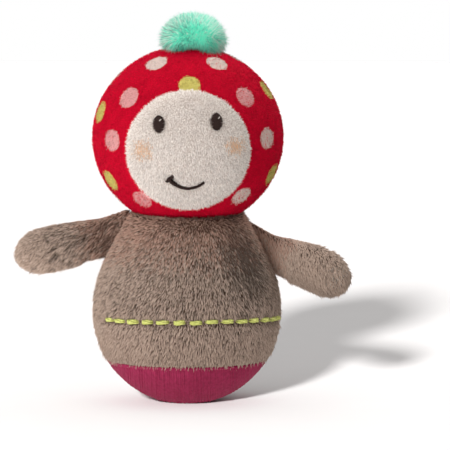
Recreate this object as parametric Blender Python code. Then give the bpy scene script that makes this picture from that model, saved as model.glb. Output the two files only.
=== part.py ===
"""Plush rattle: a stuffed doll with a hooded head, soft arms and a weighted base round a bead capsule.

Metres, +Z up, the face towards -Y. The origin is the middle of the flat patch that the toy stands on.
Left and right are the toy's own, so its left arm is at +X. A turn is an angle round the toy's upright
axis, from 0 at the front to a quarter turn at +X.
"""

import math

import bmesh
import bpy
from mathutils import Matrix, Vector

# Room between neighbouring pieces
SEAM_GAP = 0.0003

# Body: a pear on a ball, cut flat where it stands
BODY_WIDTH = 0.0776
BODY_DEPTH = 0.0710
BODY_WIDEST_Z = 0.0378
FOOT_RADIUS = 0.0100
NECK_Z = 0.0782
NECK_WIDTH = 0.0462
NECK_DEPTH = 0.0430
BODY_COVER = 0.0022

# Base panel and the granulate pouch in it
BASE_SEAM_Z = 0.0160
BASE_COVER = 0.0015
POUCH_BELOW_SEAM = 0.0010

# Decorative running stitch across the front
STITCH_Z = 0.0345
STITCH_ARCH = 0.0016
STITCH_START = math.radians(-61)
STITCH_PITCH = math.radians(10.3)
STITCH_COUNT = 14
THREAD_DIAMETER = 0.0011
THREAD_WAVE = 0.00045
CHANNEL_DEPTH = 0.0013
CHANNEL_WIDTH = 0.0050
CHANNEL_RUN_OUT = math.radians(9)

# Head: a ball cut by the neck
HEAD_WIDTH = 0.0786
HEAD_DEPTH = 0.0690
HEAD_HEIGHT = 0.0746
HEAD_OFFSET = 0.0005
HEAD_NOD = math.radians(5)
HOOD_COVER = 0.0015

# Face panel set into the hood, and what is embroidered on it
FACE_WIDTH = 0.0508
FACE_HEIGHT = 0.0496
FACE_COVER = 0.0015
FACE_PROUD = 0.0005
CHIN_RIM = 0.0036
EYE_WIDTH = 0.0055
EYE_HEIGHT = 0.0071
EYE_THICKNESS = 0.0008
EYE_SPACING = 0.0227
EYE_ABOVE_FACE = 0.0118
EYE_UNEVENNESS = 0.0009
MOUTH_WIDTH = 0.0136
MOUTH_OFFSET = -0.0003
MOUTH_SAG = 0.0024
MOUTH_BELOW_FACE = 0.0118
MOUTH_THREAD = 0.0010

# Pompom on the crown
POMPOM_WIDTH = 0.0260
POMPOM_HEIGHT = 0.0134
POMPOM_COVER = 0.0025
POMPOM_NECK = 0.0060
POMPOM_OFFSET = 0.0022
POMPOM_RIM_SHARE = 0.86
POMPOM_BELLY_SHARE = 0.32

# Arms, sewn flat into the side seams and posed as they stand
ARM_LENGTH = 0.0424
ARM_ROOT_HEIGHT = 0.0206
ARM_ROOT_THICKNESS = 0.0018
ARM_NOSE = 0.0006
ARM_NOSE_THICKNESS = 0.0008
ARM_NARROW_AT = 0.0085
ARM_NARROW_HEIGHT = 0.0160
ARM_HAND_HEIGHT = 0.0194
ARM_HAND_THICKNESS = 0.0150
ARM_SWELL = 0.0240
ARM_COVER = 0.0016
ARM_SLIT = 0.0003
ARM_FILLING_START = 0.0055
ARM_POSES = {
    "left": {"side": 1, "seam_z": 0.0638, "droop": math.radians(20.5), "forward": math.radians(30)},
    "right": {"side": -1, "seam_z": 0.0674, "droop": math.radians(12), "forward": math.radians(-3)},
}

# Rattle capsule: two plastic halves that lap, with loose beads
CAPSULE_DIAMETER = 0.0300
CAPSULE_WALL = 0.0015
CAPSULE_LAP = 0.0015
CAPSULE_LIP = 0.0006
BEAD_DIAMETER = 0.0050
BEAD_RING_COUNT = 5

# Facets
TURN_STEPS = 36
SMALL_TURN_STEPS = 24
ARM_TURN_STEPS = 16
SMOOTH_ANGLE = math.radians(50)

# Colours as they look, red, green and blue from 0 to 255
TAUPE = (150, 131, 117)
RASPBERRY = (158, 48, 84)
LIME = (208, 212, 84)
RED = (196, 16, 46)
CREAM = (226, 214, 204)
DARK_BROWN = (52, 34, 28)
TEAL = (104, 205, 176)
WHITE_FIBRE = (236, 235, 230)
CANVAS = (214, 205, 188)
CLEAR_BLUE = (120, 170, 210)
BEAD_YELLOW = (232, 190, 70)


def clear_scene():
    """Removes whatever the scene holds."""
    for obj in list(bpy.data.objects):
        bpy.data.objects.remove(obj, do_unlink=True)


def linear(level):
    """One colour channel from its display value to linear light."""
    share = level / 255
    return share / 12.92 if share <= 0.04045 else ((share + 0.055) / 1.055) ** 2.4


def material(name, colour, roughness, metallic=0.0):
    """A plain finish of one colour."""
    made = bpy.data.materials.new(name)
    made.use_nodes = True
    shader = made.node_tree.nodes["Principled BSDF"]
    shader.inputs["Base Color"].default_value = (*[linear(level) for level in colour], 1.0)
    shader.inputs["Roughness"].default_value = roughness
    shader.inputs["Metallic"].default_value = metallic
    return made


def smooth_step(share):
    """0 to 1 with level ends."""
    share = min(1.0, max(0.0, share))
    return share * share * (3 - 2 * share)


def mix(first, last, share):
    """The value or vector at a share of the way from first to last."""
    return first + (last - first) * share


def spaced(first, last, steps):
    """Values from first to last in equal steps, both ends included."""
    return [mix(first, last, index / steps) for index in range(steps + 1)]


def full_turn(steps):
    """The turns of one closed ring."""
    return [2 * math.pi * index / steps for index in range(steps)]


def add_object(name, mesh_maker, finish):
    """A named object from a bmesh, its faces pointing out, shaded smooth up to sharp edges."""
    bmesh.ops.recalc_face_normals(mesh_maker, faces=mesh_maker.faces)
    mesh = bpy.data.meshes.new(name)
    mesh_maker.to_mesh(mesh)
    mesh_maker.free()
    mesh.shade_smooth()
    mesh.set_sharp_from_angle(angle=SMOOTH_ANGLE)
    mesh.materials.append(finish)
    obj = bpy.data.objects.new(name, mesh)
    bpy.context.scene.collection.objects.link(obj)
    return obj


def loft(name, rings, finish):
    """A closed solid through rings of points in order. A ring of one point is a pole, and open ends get caps."""
    maker = bmesh.new()
    rows = [[maker.verts.new(point) for point in ring] for ring in rings]
    for row, following in zip(rows, rows[1:]):
        for index in range(max(len(row), len(following))):
            after = index + 1
            corners = [
                row[index % len(row)],
                row[after % len(row)],
                following[after % len(following)],
                following[index % len(following)],
            ]
            maker.faces.new(list(dict.fromkeys(corners)))
    for end in (rows[0], rows[-1]):
        if len(end) > 1:
            maker.faces.new(end)
    return add_object(name, maker, finish)


def cloth_panel(name, outer, inner, turns, levels, finish):
    """A thick sheet of cloth over a patch of a surface. outer and inner give points for a turn and a level."""
    maker = bmesh.new()
    grids = [
        [[maker.verts.new(face(turn, level)) for turn in turns] for level in levels]
        for face in (outer, inner)
    ]
    for grid in grids:
        for row, following in zip(grid, grid[1:]):
            for index in range(len(turns) - 1):
                maker.faces.new([row[index], row[index + 1], following[index + 1], following[index]])
    edges = [
        [grid[0] + [row[-1] for row in grid[1:]] + grid[-1][-2::-1] + [row[0] for row in grid[-2:0:-1]]]
        for grid in grids
    ]
    outline, inside = edges[0][0], edges[1][0]
    for index in range(len(outline)):
        after = (index + 1) % len(outline)
        maker.faces.new([outline[index], outline[after], inside[after], inside[index]])
    bmesh.ops.remove_doubles(maker, verts=maker.verts, dist=SEAM_GAP / 100)
    return add_object(name, maker, finish)


def turned(name, profile, steps, finish):
    """A solid of revolution about Z from (radius, height) points. A point on the axis is a pole."""
    rings = []
    for radius, height in profile:
        turns = full_turn(steps) if radius > 0 else [0.0]
        rings.append([Vector((radius * math.cos(a), radius * math.sin(a), height)) for a in turns])
    return loft(name, rings, finish)


def arc(radius, first, last, steps):
    """(radius, height) points on a circle about the origin, by angle above the level, exact at a pole."""
    points = []
    for angle in spaced(first, last, steps):
        across = radius * math.cos(angle)
        points.append((across if across > radius / 1e6 else 0.0, radius * math.sin(angle)))
    return points


def pivot(name, place, nod=0.0):
    """An empty on a joint's axis, which carries the pieces that move about it and may nod them forward."""
    empty = bpy.data.objects.new(name, None)
    empty.location = place
    empty.rotation_euler = (nod, 0, 0)
    bpy.context.scene.collection.objects.link(empty)
    return empty


def carry(empty, *pieces):
    """Parents pieces to a pivot, which turns them about its own place."""
    for piece in pieces:
        piece.parent = empty
        piece.matrix_parent_inverse = Matrix.Translation(-empty.location)


# Body surface


def body_half_sizes(height):
    """Half the body's width and depth at a height."""
    if height < BODY_WIDEST_Z:
        foot_share = 2 * FOOT_RADIUS / BODY_WIDTH
        reach = BODY_WIDEST_Z / math.sqrt(1 - foot_share**2)
        share = math.sqrt(max(0.0, 1 - ((BODY_WIDEST_Z - height) / reach) ** 2))
        return BODY_WIDTH / 2 * share, BODY_DEPTH / 2 * share
    rise = (height - BODY_WIDEST_Z) / (NECK_Z - BODY_WIDEST_Z)
    share = math.cos(math.pi / 2 * rise)
    return mix(NECK_WIDTH, BODY_WIDTH, share) / 2, mix(NECK_DEPTH, BODY_DEPTH, share) / 2


def body_place(turn, height):
    """A point of the body's surface and the outward normal there."""
    half_width, half_depth = body_half_sizes(height)
    step = SEAM_GAP
    wide_over, deep_over = body_half_sizes(height + step)
    wide_under, deep_under = body_half_sizes(height - step)
    along = Vector((half_width * math.cos(turn), half_depth * math.sin(turn), 0))
    up = Vector(
        (
            (wide_over - wide_under) * math.sin(turn),
            -(deep_over - deep_under) * math.cos(turn),
            2 * step,
        )
    )
    place = Vector((half_width * math.sin(turn), -half_depth * math.cos(turn), height))
    return place, along.cross(up).normalized()


def body_point(turn, height, inset=0.0):
    """A point of the body's surface, or of a surface that lies inset inside it."""
    place, normal = body_place(turn, height)
    return place - inset * normal


def body_ring(height, inset):
    """A closed ring of body points, moved in along their normals."""
    return [body_point(turn, height, inset) for turn in full_turn(TURN_STEPS)]


def level_ring(level, inset):
    """A closed ring inside the body, moved in sideways so that it keeps its height."""
    ring = []
    for turn in full_turn(TURN_STEPS):
        place, normal = body_place(turn, level + neck_lean(turn, level))
        sideways = Vector((normal.x, normal.y, 0))
        ring.append(place - sideways * inset / sideways.length_squared)
    return ring


def neck_lean(turn, level):
    """How far a row of the body rises or falls, so that the top one lies under the nodding head."""
    share = smooth_step((level - BODY_WIDEST_Z) / (NECK_Z - BODY_WIDEST_Z))
    return -share * math.tan(HEAD_NOD) * NECK_DEPTH / 2 * math.cos(turn)


def stitch_lift(turn, height):
    """How far the front panel's rows lift at a place, so that they follow the arched line of stitches."""
    room = STITCH_Z - BASE_SEAM_Z if height < STITCH_Z else NECK_Z - STITCH_Z
    return STITCH_ARCH * math.cos(turn) * (1 - smooth_step(abs(height - STITCH_Z) / room))


def front_height(turn, level):
    """Where a row of the front panel lies."""
    return level + stitch_lift(turn, level) + neck_lean(turn, level)


def channel_draw(turn, height):
    """How far the running stitch draws the cover in at a place. The height is before the rows lift."""
    across = abs(height - STITCH_Z) / (CHANNEL_WIDTH / 2)
    if across >= 1:
        return 0.0
    stitch_end = STITCH_START + STITCH_COUNT * STITCH_PITCH
    outside = max(STITCH_START - turn, turn - stitch_end, 0.0)
    share = 1 - smooth_step((outside - CHANNEL_RUN_OUT / 2) / CHANNEL_RUN_OUT)
    return CHANNEL_DEPTH * share * math.cos(math.pi / 2 * across) ** 2


def build_body_covers(plush):
    """The front and back panels, which meet at the side seams."""
    bottom = BASE_SEAM_Z + SEAM_GAP / 2
    channel_low = STITCH_Z - CHANNEL_WIDTH / 2
    channel_high = STITCH_Z + CHANNEL_WIDTH / 2
    front_levels = (
        spaced(bottom, channel_low, 3)
        + spaced(channel_low, channel_high, 4)[1:-1]
        + spaced(channel_high, NECK_Z, 7)
    )
    back_levels = spaced(bottom, NECK_Z, 11)
    half_gap = Vector((0, SEAM_GAP / 2, 0))
    half_turn_steps = TURN_STEPS // 2

    def front_outer(turn, level):
        return body_point(turn, front_height(turn, level), channel_draw(turn, level)) - half_gap

    def front_inner(turn, level):
        return body_point(turn, front_height(turn, level), BODY_COVER) - half_gap

    def back_outer(turn, level):
        return body_point(turn, level + neck_lean(turn, level)) + half_gap

    def back_inner(turn, level):
        return body_point(turn, level + neck_lean(turn, level), BODY_COVER) + half_gap

    front_turns = spaced(-math.pi / 2, math.pi / 2, half_turn_steps)
    back_turns = spaced(math.pi / 2, 3 * math.pi / 2, half_turn_steps)
    cloth_panel("body_front", front_outer, front_inner, front_turns, front_levels, plush)
    cloth_panel("body_back", back_outer, back_inner, back_turns, back_levels, plush)


def build_base(cloth):
    """The bowl-shaped base panel, with the flat patch that the toy stands on."""
    top = BASE_SEAM_Z - SEAM_GAP / 2
    levels = spaced(0.0, top, 5)
    rings = [[Vector((0, 0, 0))]]
    rings += [body_ring(level, 0.0) for level in levels]
    rings += [body_ring(level, BASE_COVER) for level in reversed(levels[1:])]
    floor = [Vector((point.x, point.y, BASE_COVER)) for point in body_ring(0.0, BASE_COVER)]
    rings += [floor, [Vector((0, 0, BASE_COVER))]]
    loft("base_panel", rings, cloth)


def build_pouch(canvas):
    """The pouch of granulate that fills the base and keeps the toy upright."""
    inset = BASE_COVER + SEAM_GAP
    top = BASE_SEAM_Z - POUCH_BELOW_SEAM
    foot = [Vector((point.x, point.y, inset)) for point in body_ring(0.0, inset)]
    sides = [level_ring(level, inset) for level in spaced(inset, top, 5)]
    loft("weight_pouch", [foot] + sides[1:], canvas)


def build_running_stitch(thread):
    """The decorative thread: one tube that rises over each stitch and dips between them."""
    points_per_stitch = 6
    points = []
    for index in range(STITCH_COUNT * points_per_stitch + 1):
        share = index / points_per_stitch
        turn = STITCH_START + share * STITCH_PITCH
        lift = -THREAD_WAVE * math.cos(2 * math.pi * share)
        points.append(body_point(turn, STITCH_Z + stitch_lift(turn, STITCH_Z), -lift))
    tube("waist_thread", points, THREAD_DIAMETER, [1.0] * len(points), 1, thread)


def tube(name, points, diameter, widths, resolution, finish):
    """A thread through points, with its width at each as a share of its diameter."""
    curve = bpy.data.curves.new(name, "CURVE")
    curve.dimensions = "3D"
    curve.bevel_depth = diameter / 2
    curve.bevel_resolution = resolution
    curve.use_fill_caps = True
    spline = curve.splines.new("POLY")
    spline.points.add(len(points) - 1)
    for knot, point, width in zip(spline.points, points, widths):
        knot.co = (*point, 1)
        knot.radius = width
    curve.materials.append(finish)
    obj = bpy.data.objects.new(name, curve)
    bpy.context.scene.collection.objects.link(obj)
    return obj


# Rattle


def capsule_centre():
    """The capsule's middle: it rests on the pouch."""
    pouch_top = BASE_SEAM_Z - POUCH_BELOW_SEAM
    return Vector((0, 0, pouch_top + SEAM_GAP + CAPSULE_DIAMETER / 2))


def build_capsule(plastic):
    """The two half shells. The lower one's tongue stands inside the upper one's lip."""
    outer = CAPSULE_DIAMETER / 2
    inner = outer - CAPSULE_WALL
    tongue = outer - CAPSULE_LIP - SEAM_GAP
    lip = outer - CAPSULE_LIP
    steps = 6
    quarter = math.pi / 2
    inner_low = math.asin(CAPSULE_LAP / inner)
    inner_high = math.asin((CAPSULE_LAP + SEAM_GAP) / inner)
    lower = arc(outer, -quarter, 0.0, steps)
    lower += [(tongue, 0.0), (tongue, CAPSULE_LAP)]
    lower += arc(inner, inner_low, -quarter, steps)
    upper = arc(outer, quarter, math.asin(SEAM_GAP / outer), steps)
    upper += [(lip, SEAM_GAP), (lip, CAPSULE_LAP + SEAM_GAP)]
    upper += arc(inner, inner_high, quarter, steps)
    for name, profile in (("capsule_lower", lower), ("capsule_upper", upper)):
        half = turned(name, profile, SMALL_TURN_STEPS, plastic)
        half.location = capsule_centre()


def bead_places():
    """Where the beads lie in the capsule's bottom: one in the middle and a ring round it."""
    path = CAPSULE_DIAMETER / 2 - CAPSULE_WALL - BEAD_DIAMETER / 2 - SEAM_GAP
    apart = BEAD_DIAMETER + SEAM_GAP
    ring_radius = max(apart, apart / (2 * math.sin(math.pi / BEAD_RING_COUNT)))
    places = [capsule_centre() + Vector((0, 0, -path))]
    for turn in full_turn(BEAD_RING_COUNT):
        drop = math.sqrt(path**2 - ring_radius**2)
        offset = Vector((ring_radius * math.sin(turn), -ring_radius * math.cos(turn), -drop))
        places.append(capsule_centre() + offset)
    return places


def build_beads(plastic):
    """The loose beads, each with its origin at its middle."""
    for number, place in enumerate(bead_places(), start=1):
        maker = bmesh.new()
        bmesh.ops.create_icosphere(maker, subdivisions=2, radius=BEAD_DIAMETER / 2)
        bead = add_object(f"rattle_bead_{number}", maker, plastic)
        bead.location = place


def build_body_filling(fibre):
    """Stuffing in the body, with a pocket from below for the capsule."""
    inset = BODY_COVER + SEAM_GAP
    bottom = BASE_SEAM_Z - POUCH_BELOW_SEAM + SEAM_GAP
    pocket = CAPSULE_DIAMETER / 2 + SEAM_GAP
    centre = capsule_centre().z
    dome = [(radius, centre + height) for radius, height in arc(pocket, math.pi / 2, 0.0, 5)]
    rings = []
    for radius, height in dome + [(pocket, bottom)]:
        turns = full_turn(TURN_STEPS) if radius > 0 else [0.0]
        rings.append([Vector((radius * math.sin(a), -radius * math.cos(a), height)) for a in turns])
    sides = [level_ring(level, inset) for level in spaced(bottom, NECK_Z - SEAM_GAP, 10)]
    loft("body_filling", rings + sides, fibre)


# Head


def head_centre():
    """The head's middle, set so that its cut at the neck is as wide as the body's."""
    cut = math.sqrt(1 - (NECK_WIDTH / HEAD_WIDTH) ** 2)
    return Vector((HEAD_OFFSET, 0, NECK_Z + SEAM_GAP + HEAD_HEIGHT / 2 * cut))


def head_point(turn, rise, inset=0.0):
    """A point of the head by turn and by rise, an angle above the head's middle."""
    half = Vector((HEAD_WIDTH, HEAD_DEPTH, HEAD_HEIGHT)) / 2
    unit = Vector(
        (math.sin(turn) * math.cos(rise), -math.cos(turn) * math.cos(rise), math.sin(rise))
    )
    normal = Vector(axis / size for axis, size in zip(unit, half)).normalized()
    place = Vector(axis * size for axis, size in zip(unit, half))
    return head_centre() + place - inset * normal


def neck_rise():
    """The rise, below the head's middle, of its cut at the neck."""
    return -math.acos(NECK_WIDTH / HEAD_WIDTH)


def face_centre():
    """The middle of the face panel, which stands on the hood's rim under the chin."""
    return Vector((HEAD_OFFSET, 0, NECK_Z + SEAM_GAP + CHIN_RIM + FACE_HEIGHT / 2))


def face_surface(across, height, proud):
    """The point of the head's front over a place in the XZ plane, standing proud of the hood."""
    centre = head_centre()
    wide = 2 * (across - centre.x) / HEAD_WIDTH
    tall = 2 * (height - centre.z) / HEAD_HEIGHT
    share = 1 - wide**2 - tall**2
    return Vector((across, -HEAD_DEPTH / 2 * math.sqrt(max(0.0, share)) - proud, height))


def oval_patch(name, middle, width, height, under, thickness, crown, steps, finish):
    """A domed oval that follows the face, from under the surface to its thickness plus a crown."""
    rings_out = 4
    rings = []
    for front in (False, True):
        shares = spaced(0.0, 1.0, rings_out)
        for share in shares if not front else reversed(shares):
            proud = under + (thickness + crown * (1 - share**2) if front else 0.0)
            turns = full_turn(steps) if share > 0 else [0.0]
            rings.append(
                [
                    face_surface(
                        middle.x + share * width / 2 * math.cos(turn),
                        middle.z + share * height / 2 * math.sin(turn),
                        proud,
                    )
                    for turn in turns
                ]
            )
    return loft(name, rings, finish)


def build_hood(cloth):
    """The hood's front and back panels, with the face cut out of the front."""
    half_gap = Vector((0, SEAM_GAP / 2, 0))
    half_turn_steps = TURN_STEPS // 2
    rises = spaced(neck_rise(), math.pi / 2, 11)
    panels = []
    for name, first_turn, shift in (("hood_front", -0.5, -half_gap), ("hood_back", 0.5, half_gap)):

        def outer(turn, rise, shift=shift):
            return head_point(turn, rise) + shift

        def inner(turn, rise, shift=shift):
            place = head_point(turn, rise, HOOD_COVER)
            place.z = max(place.z, NECK_Z + SEAM_GAP)
            return place + shift

        turns = spaced(first_turn * math.pi, (first_turn + 1) * math.pi, half_turn_steps)
        panels.append(cloth_panel(name, outer, inner, turns, rises, cloth))
    cutter = face_cutter()
    cut = panels[0].modifiers.new("face_opening", "BOOLEAN")
    cut.operation = "DIFFERENCE"
    cut.object = cutter
    return [*panels, cutter]


def face_cutter():
    """The oval hole for the face, as a bar that runs out through the hood's front."""
    middle = face_centre()
    half_width = FACE_WIDTH / 2 + SEAM_GAP
    half_height = FACE_HEIGHT / 2 + SEAM_GAP
    rings = [
        [
            middle + Vector((half_width * math.cos(turn), reach, half_height * math.sin(turn)))
            for turn in full_turn(TURN_STEPS)
        ]
        for reach in (0.0, -HEAD_DEPTH)
    ]
    cutter = loft("face_cutter", rings, bpy.data.materials["hood_velour"])
    cutter.hide_render = True
    cutter.display_type = "WIRE"
    return cutter


def build_face(plush, thread):
    """The face panel, the two satin-stitched eyes and the mouth line."""
    middle = face_centre()
    under = FACE_PROUD - FACE_COVER
    pieces = [
        oval_patch(
            "face_panel", middle, FACE_WIDTH, FACE_HEIGHT, under, FACE_COVER, 0.0, TURN_STEPS, plush
        )
    ]
    eye_under = FACE_PROUD + SEAM_GAP
    for name, side in (("left_eye", 1), ("right_eye", -1)):
        place = middle + Vector((side * EYE_SPACING / 2, 0, EYE_ABOVE_FACE + side * EYE_UNEVENNESS / 2))
        rim = EYE_THICKNESS / 2
        pieces.append(
            oval_patch(name, place, EYE_WIDTH, EYE_HEIGHT, eye_under, rim, rim, ARM_TURN_STEPS, thread)
        )
    pieces.append(build_mouth(middle, thread))
    return pieces


def build_mouth(middle, thread):
    """A smile line, heavier at the toy's right corner."""
    steps = 10
    heavy, light = 1.5, 0.8
    points = []
    widths = []
    for index in range(steps + 1):
        share = index / steps
        across = (share - 0.5) * MOUTH_WIDTH
        sag = MOUTH_SAG * (1 - (2 * share - 1) ** 2)
        width = mix(heavy, light, smooth_step(2 * share))
        lift = FACE_PROUD + SEAM_GAP + MOUTH_THREAD / 2 * heavy
        points.append(face_surface(middle.x + MOUTH_OFFSET + across, middle.z - MOUTH_BELOW_FACE - sag, lift))
        widths.append(width)
    return tube("mouth", points, MOUTH_THREAD, widths, 2, thread)


def build_head_filling(fibre):
    """Stuffing in the head, with a plug down to the neck."""
    inset = HOOD_COVER + SEAM_GAP
    rises = spaced(neck_rise(), math.pi / 2, 10)
    rings = [
        [head_point(turn, rise, inset) for turn in full_turn(TURN_STEPS)] for rise in rises[:-1]
    ]
    plug = [Vector((point.x, point.y, NECK_Z + SEAM_GAP)) for point in rings[0]]
    return loft("head_filling", [plug, *rings, [head_point(0.0, rises[-1], inset)]], fibre)


def pompom_profile(inset):
    """The pompom's (radius, height) outline from its gathered neck under the rim to its top."""
    bend = HEAD_WIDTH**2 / HEAD_HEIGHT / 2
    widest = POMPOM_WIDTH / 2 - inset
    rim = POMPOM_WIDTH / 2 * POMPOM_RIM_SHARE - inset
    under = SEAM_GAP + inset
    hollow = [
        (radius, math.sqrt(bend**2 - radius**2) - bend + under)
        for radius in spaced(POMPOM_NECK / 2, rim, 3)
    ]
    crown = POMPOM_HEIGHT - inset
    belly = hollow[-1][1] + (crown - hollow[-1][1]) * POMPOM_BELLY_SHARE
    swell = math.acos(rim / widest)
    steps = 8
    side = []
    for angle in spaced(-swell, math.pi / 2, steps)[1:]:
        drop = (belly - hollow[-1][1]) / math.sin(swell)
        reach = crown - belly if angle > 0 else drop
        across = widest * math.cos(angle)
        side.append((across if across > inset / 1e6 + 1e-9 else 0.0, belly + reach * math.sin(angle)))
    return hollow + side


def build_pompom(plush, fibre):
    """The pompom's gathered cover and its filling, sewn on at the crown."""
    tilt = math.asin(2 * POMPOM_OFFSET / HEAD_WIDTH)
    seat = head_point(math.pi / 2, math.pi / 2 - tilt)
    outside = pompom_profile(0.0)
    inside = pompom_profile(POMPOM_COVER)
    core = pompom_profile(POMPOM_COVER + SEAM_GAP)
    cover = turned("pompom_cover", outside[::-1] + inside, SMALL_TURN_STEPS, plush)
    filling = turned("pompom_filling", core, SMALL_TURN_STEPS, fibre)
    for piece in (cover, filling):
        piece.location = seat
        piece.rotation_euler = (0, tilt, 0)
    return [cover, filling]


# Arms


def seam_frame(pose):
    """A shoulder seam's middle on the body, its direction up the seam and its outward normal."""
    side = pose["side"]
    place = body_point(side * math.pi / 2, pose["seam_z"])
    step = SEAM_GAP
    up = body_point(side * math.pi / 2, pose["seam_z"] + step) - place
    up.normalize()
    normal = Vector((side * up.z, 0, -side * up.x))
    return place, up, normal


def shoulder_place(pose):
    """The point that an arm folds about: just off the seam, by its nose and the gap."""
    place, _, normal = seam_frame(pose)
    return place + normal * (ARM_NOSE + SEAM_GAP)


def arm_half_sizes(travel, inset):
    """Half the arm's height and thickness at a distance from its seam, inside its surface by inset."""
    share = min(1.0, max(0.0, travel / ARM_SWELL))
    past_narrow = (travel - ARM_NARROW_AT) / (ARM_SWELL - ARM_NARROW_AT)
    height = mix(ARM_ROOT_HEIGHT, ARM_NARROW_HEIGHT, smooth_step(travel / ARM_NARROW_AT)) / 2
    height += mix(0.0, ARM_HAND_HEIGHT - ARM_NARROW_HEIGHT, smooth_step(past_narrow)) / 2
    thick = mix(ARM_ROOT_THICKNESS, ARM_HAND_THICKNESS, math.sin(math.pi / 2 * share)) / 2
    if travel < 0:
        thick = ARM_NOSE_THICKNESS / 2
    round_end = ARM_HAND_HEIGHT / 2 - inset
    past = (travel - (ARM_LENGTH - inset - round_end)) / round_end
    taper = math.sqrt(max(0.0, 1 - max(0.0, past) ** 2))
    return (height - inset) * taper, max(thick - inset, ARM_SLIT / 2) * taper


def arm_ring(pose, travel, inset):
    """A ring of the arm. It lies along the seam at the root and stands across the arm further out."""
    side = pose["side"]
    _, seam_up, normal = seam_frame(pose)
    reach = math.cos(pose["droop"])
    along = Vector(
        (
            side * reach * math.cos(pose["forward"]),
            -reach * math.sin(pose["forward"]),
            -math.sin(pose["droop"]),
        )
    )
    arm_up = (Vector((0, 0, 1)) - along * along.z).normalized()
    arm_side = side * arm_up.cross(along)
    share = smooth_step(travel / ARM_SWELL)
    up = mix(seam_up, arm_up, share).normalized()
    sideways = mix(Vector((0, 1, 0)), arm_side, share).normalized()
    middle = shoulder_place(pose) + (normal if travel < 0 else along) * travel
    height, thick = arm_half_sizes(travel, inset)
    if height <= 0:
        return [middle]
    return [
        middle + up * height * math.cos(turn) + sideways * thick * math.sin(turn)
        for turn in full_turn(ARM_TURN_STEPS)
    ]


def arm_travels(first, inset):
    """Distances along the arm, closer together round its end."""
    end = ARM_LENGTH - inset
    round_start = ARM_LENGTH - ARM_HAND_HEIGHT / 2
    straight = spaced(first, round_start, 8)
    rounded = [
        round_start + (end - round_start) * math.sin(angle) for angle in spaced(0.0, math.pi / 2, 4)
    ]
    return straight + rounded[1:]


def build_arm(name, pose, plush, fibre):
    """An arm's cover, open along its seam, and its filling, carried by the shoulder."""
    outside = [arm_ring(pose, travel, 0.0) for travel in [-ARM_NOSE, *arm_travels(0.0, 0.0)]]
    inside = [
        arm_ring(pose, travel, ARM_COVER) for travel in [-ARM_NOSE, *arm_travels(0.0, ARM_COVER)]
    ]
    inset = ARM_COVER + SEAM_GAP
    core = [arm_ring(pose, travel, inset) for travel in arm_travels(ARM_FILLING_START, inset)]
    cover = loft(f"{name}_arm_cover", outside[::-1] + inside, plush)
    filling = loft(f"{name}_arm_filling", core, fibre)
    carry(pivot(f"{name}_shoulder", shoulder_place(pose)), cover, filling)


def main():
    """Builds the toy from the base up."""
    clear_scene()
    plush = material("body_plush", TAUPE, 0.9)
    base_cloth = material("base_cloth", RASPBERRY, 0.85)
    lime_thread = material("lime_thread", LIME, 0.5)
    hood_cloth = material("hood_velour", RED, 0.85)
    face_plush = material("face_plush", CREAM, 0.9)
    brown_thread = material("brown_thread", DARK_BROWN, 0.5)
    pompom_plush = material("pompom_plush", TEAL, 0.9)
    fibre = material("stuffing", WHITE_FIBRE, 0.95)
    canvas = material("pouch_canvas", CANVAS, 0.9)
    capsule_plastic = material("capsule_plastic", CLEAR_BLUE, 0.3)
    bead_plastic = material("bead_plastic", BEAD_YELLOW, 0.3)

    build_base(base_cloth)
    build_pouch(canvas)
    build_body_covers(plush)
    build_running_stitch(lime_thread)
    build_capsule(capsule_plastic)
    build_beads(bead_plastic)
    build_body_filling(fibre)

    head_pieces = build_hood(hood_cloth)
    head_pieces += build_face(face_plush, brown_thread)
    head_pieces.append(build_head_filling(fibre))
    head_pieces += build_pompom(pompom_plush, fibre)
    carry(pivot("neck", Vector((HEAD_OFFSET, 0, NECK_Z)), HEAD_NOD), *head_pieces)

    for name, pose in ARM_POSES.items():
        build_arm(name, pose, plush, fibre)


main()
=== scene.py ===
"""The looks of a plush rattle: stuffed skins, grown pile, stitching and a small studio.

Lengths are in metres, +Z is up and the toy looks along -Y. Left and right are the toy's own.
"""

import sys

import logging
import math
from collections.abc import Callable, Sequence
from dataclasses import dataclass, field, replace
from enum import Enum

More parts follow.
